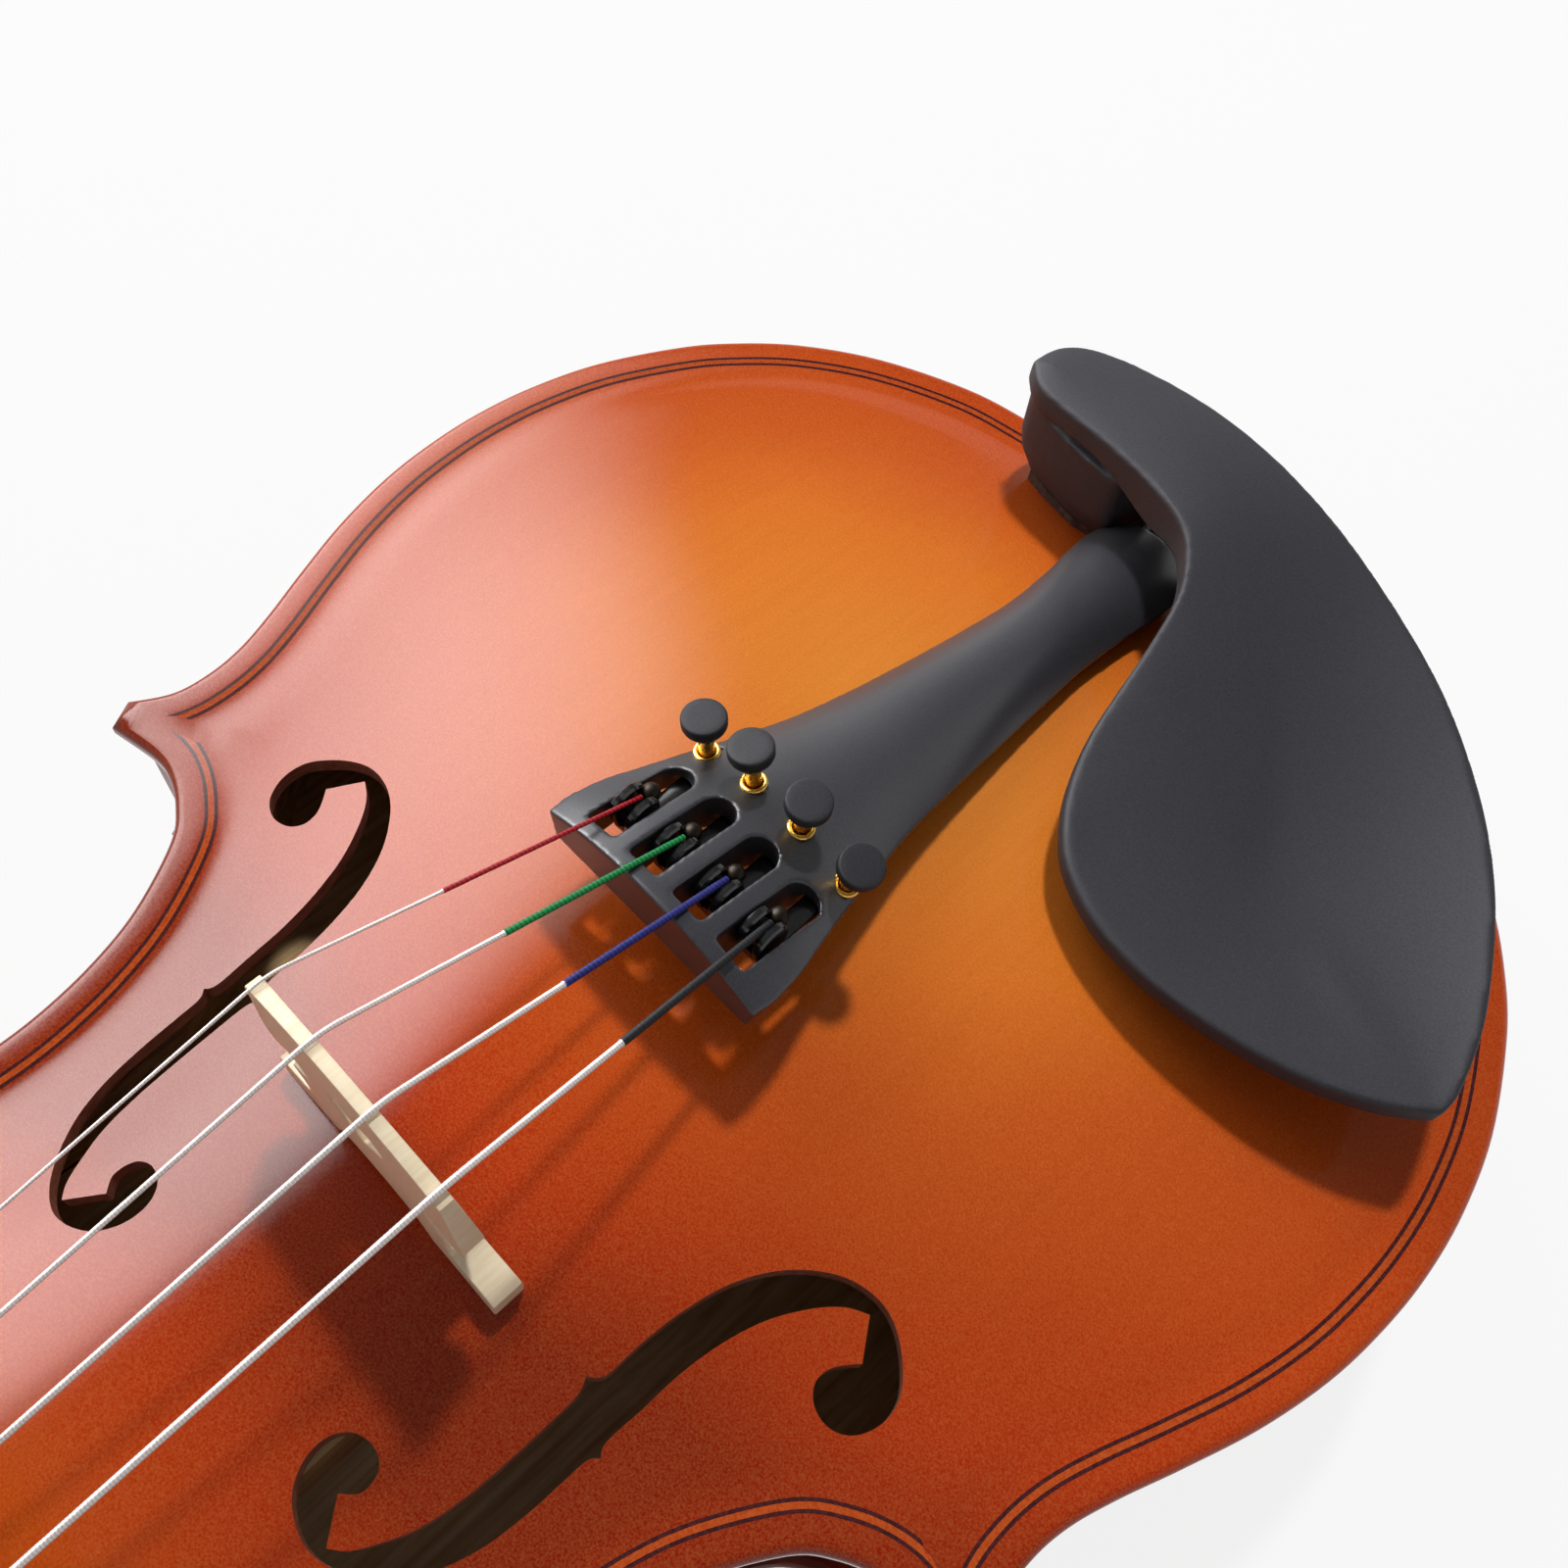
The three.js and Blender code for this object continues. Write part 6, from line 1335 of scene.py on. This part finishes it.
def chinPlace(rows, s=chinSettings):
    rows = np.asarray(rows, float)
    return np.stack([s["cornerX"] - rows[:, 0] * s["long"], s["cornerY"] + rows[:, 1] * s["deep"],
                     s["base"] + rows[:, 2] * s["high"]], 1)


def chinEdge(shares, count):
    return evenly(splineThrough(chinPlace(shares), 12), count)


def footLine(name):
    # One foot's plan, from its shares of the plate.
    plan = chinPlace([(x, y, 0) for x, y in footShares[name]])[:, :2]
    line = smoothLoop(plan, 5, 70)
    return evenly(np.vstack([line, line[:1]]), 80)[:-1]


def makeChinRest(s=chinSettings):
    # A dished plate between its rear and front edges, on two feet that are grooved for the clamp.
    steps = 110
    edge = np.vstack([chinEdge(chinRearShares, steps), chinEdge(chinFrontShares, steps)[::-1][1:-1]])
    middle = chinEdge(chinSpineShares, steps)
    middle = np.vstack([middle, middle[::-1][1:-1]])
    loops = []
    for level, upper in [(v, False) for v in s["levels"][::-1]] + [(v, True) for v in s["levels"]]:
        plan = edge + (middle - edge) * level
        z = edge[:, 2] + (middle[:, 2] - edge[:, 2]) * (1 - (1 - level) ** 2)
        rim = max(0, 1 - level / s["rimShare"])
        rounding = 1 - math.sqrt(max(0, 1 - rim ** 2))
        if upper:
            z = z - s["rimDrop"] * rounding
        else:
            lip = s["lip"] * np.exp(-(plan[:, 0] / s["lipHalf"]) ** 2)
            z = z - lip - s["thick"] * (0.6 + 0.4 * min(level / 0.42, 1)) + s["rimRaise"] * rounding
        loops.append(np.column_stack([plan[:, :2], z]))
    piece = tidyMesh(meshPiece("chinRestPlate", *loft(loops, capped=False)), merge=0.02)
    for low, high in (("treble", "trebleFlare"), ("bass", "bass")):
        feet = []
        for z, grow, blend in s["footSections"]:
            line = footLine(low) + (footLine(high) - footLine(low)) * blend
            centre = line.mean(0)
            feet.append(np.column_stack([centre + (line - centre) * grow, np.full(len(line), z)]))
        joinInto(piece, loftPiece("cutter", feet), "UNION")
    for x in (-s["grooveX"], s["grooveX"]):
        low, high = (x - s["grooveHalf"], *s["grooveFrom"]), (x + s["grooveHalf"], *s["grooveTo"])
        cutOut(piece, boxPiece("cutter", low, high))
    return smoothDish(soften(piece, 0.5, 3), edge)


def smoothDish(piece, edge, s=chinSettings):
    # The dish alone is smoothed further: what lies high and away from the rim.
    at = np.empty(len(piece.data.vertices) * 3)
    piece.data.vertices.foreach_get("co", at)
    at = at.reshape(-1, 3) * 1000
    fromRim = np.concatenate([np.hypot(part[:, :1] - edge[:, 0], part[:, 1:2] - edge[:, 1]).min(1)
                              for part in np.array_split(at, 40)])
    chosen = np.flatnonzero((fromRim > s["smoothFrom"]) & (at[:, 2] > s["smoothAbove"]))
    piece.vertex_groups.new(name="dish").add(chosen.tolist(), 1.0, "REPLACE")
    return applyModifier(piece, "SMOOTH", factor=0.5, iterations=80, vertex_group="dish")


chinRestPlate = makeChinRest()
settle(chinRestPlate, "violin", ["chinRestPlastic"], "chin_rest_plastic", "chin_rest")
print("chin rest made:", len(chinRestPlate.data.polygons), "faces")

# The rest of the fittings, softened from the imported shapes: node, name, voxel, rounds, finish and slot
softRows = [
    ("neck", "neckCarving", 0.7, 4, "varnishedMaple", "varnished_maple"),
    ("nut", "nutBar", 0.3, 3, "ebony", "ebony"),
    ("saddle", "saddleBar", 0.3, 4, "ebony", "ebony"),
    ("clamp_upper_bracket", "upperBracket", 0.3, 3, "nickel", "nickel"),
    ("clamp_lower_bracket", "lowerBracket", 0.3, 3, "nickel", "nickel"),
    ("clamp_barrel_bass", "bassBarrel", 0.25, 3, "nickel", "nickel"),
    ("clamp_barrel_treble", "trebleBarrel", 0.25, 3, "nickel", "nickel"),
    *[(letter + "_peg", letter + "PegTurning", 0.35, 5, "ebony", "ebony") for letter in stringLetters],
    ("tailgut", "tailgutCord", 0.2, 4, "tailgutNylon", "tailgut_nylon"),
]
for node, name, voxel, rounds, finish, slot in softRows:
    settle(soften(copyNode(node, name), voxel, rounds), bodyOf[node], [finish], slot, node)
print("fittings made")

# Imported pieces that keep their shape
nodeFinishes = {
    "bareSpruce": ("corner_block_lower_treble", "corner_block_lower_bass", "corner_block_upper_treble",
                   "corner_block_upper_bass", "bottom_block", "top_block", "bass_bar", "sound_post"),
    "cork": ("chin_rest_cork_treble", "chin_rest_cork_bass", "clamp_cork"),
    "ebony": ("end_button",),
}
for finish, nodes in nodeFinishes.items():
    for node in nodes:
        for each in frame["nodes"][node].material_slots:
            each.material = finishes[finish]

# Floor, light and backdrop
lightSettings = {
    "aim": (0, -60, 60), "world": 0.22,
    "floorSize": 12, "floorDrop": 0.0004, "wallRadius": 5.0, "wallHigh": 3.0,
    "pale": 0.85, "glowShare": 0.85, "fade": 0.25,
}
# Azimuth and elevation, distance, width and height in metres, radiance, and whether it falls on things or is
# seen in them.
lampRows = {
    "keyLamp": (-57, 68, 1300, (0.13, 0.13), 365, "falls"),
    "softbox": (-8, 40, 1250, (1.2, 1.0), 2.4, "falls"),
    "sheenBox": (2, 38, 1150, (1.6, 1.25), 15, "mirrored"),
}


def seenDirectly(tree):
    # 1 for what the camera, a reflection or clear material sees, 0 for the light that falls on the object.
    path = addNode(tree, "LightPath").outputs
    either = calc(tree, "MAXIMUM", path["Is Camera Ray"], path["Is Glossy Ray"])
    return calc(tree, "MAXIMUM", either, path["Is Transmission Ray"])


def makeStage(s):
    # A pale floor with a pale wall all round it.
    bpy.ops.object.select_all(action="DESELECT")
    bpy.ops.mesh.primitive_plane_add(size=s["floorSize"], location=(0, 0, -s["floorDrop"]))
    floor = bpy.context.view_layer.objects.active
    floor.name = "floor"
    bpy.ops.object.select_all(action="DESELECT")
    bpy.ops.mesh.primitive_cylinder_add(vertices=96, radius=s["wallRadius"], depth=s["wallHigh"],
                                        end_fill_type="NOTHING", location=(0, 0, s["wallHigh"] / 2))
    wall = bpy.context.view_layer.objects.active
    wall.name = "wall"
    material = bpy.data.materials.new("paleFloor")
    material.use_nodes = True
    tree = material.node_tree
    tree.nodes.remove(tree.nodes["Principled BSDF"])
    matt = addNode(tree, "BsdfDiffuse", {"Color": (s["pale"], s["pale"], s["pale"], 1)})
    glow = addNode(tree, "Emission", {"Color": (1, 1, 1, 1), "Strength": 1.0})
    share = calc(tree, "MULTIPLY", seenDirectly(tree), s["glowShare"])
    mix = addNode(tree, "MixShader", {0: share, 1: matt.outputs[0], 2: glow.outputs[0]})
    tree.links.new(mix.outputs[0], tree.nodes["Material Output"].inputs["Surface"])
    for each in (floor, wall):
        each.data.materials.append(material)


def fadeBorders(data, fade):
    # A lamp's light falls off softly toward its borders.
    data.use_nodes = True
    tree = data.node_tree
    place = addNode(tree, "SeparateXYZ", {0: addNode(tree, "NewGeometry").outputs["Parametric"]}).outputs
    fades = []
    for axis in ("X", "Y"):
        inside = calc(tree, "MULTIPLY", place[axis], calc(tree, "SUBTRACT", 1.0, place[axis]))
        fades.append(mapRange(tree, inside, 0.0, fade, kind="SMOOTHSTEP"))
    tree.links.new(calc(tree, "MULTIPLY", *fades), tree.nodes["Emission"].inputs["Strength"])


def makeLights(s, rows):
    for name, (azimuth, elevation, distance, size, radiance, use) in rows.items():
        azimuth, elevation = math.radians(azimuth), math.radians(elevation)
        way = Vector((math.cos(elevation) * math.cos(azimuth), math.cos(elevation) * math.sin(azimuth),
                      math.sin(elevation)))
        data = bpy.data.lights.new(name, "AREA")
        data.shape = "RECTANGLE"
        data.size, data.size_y = size
        data.energy = radiance * math.pi * data.size * data.size_y
        fadeBorders(data, s["fade"])
        lamp = bpy.data.objects.new(name, data)
        scene.collection.objects.link(lamp)
        lamp.location = (Vector(s["aim"]) + way * distance) / 1000
        lamp.rotation_euler = way.to_track_quat("Z", "Y").to_euler()
        lamp.visible_camera = False
        lamp.visible_diffuse = use == "falls"
        lamp.visible_glossy = use == "mirrored"
    scene.world = bpy.data.worlds.new("studio")
    scene.world.use_nodes = True
    background = scene.world.node_tree.nodes["Background"]
    background.inputs["Color"].default_value = (1, 1, 1, 1)
    background.inputs["Strength"].default_value = s["world"]


makeStage(lightSettings)
makeLights(lightSettings, lampRows)
scene.view_settings.view_transform = "Standard"
print("stage set")
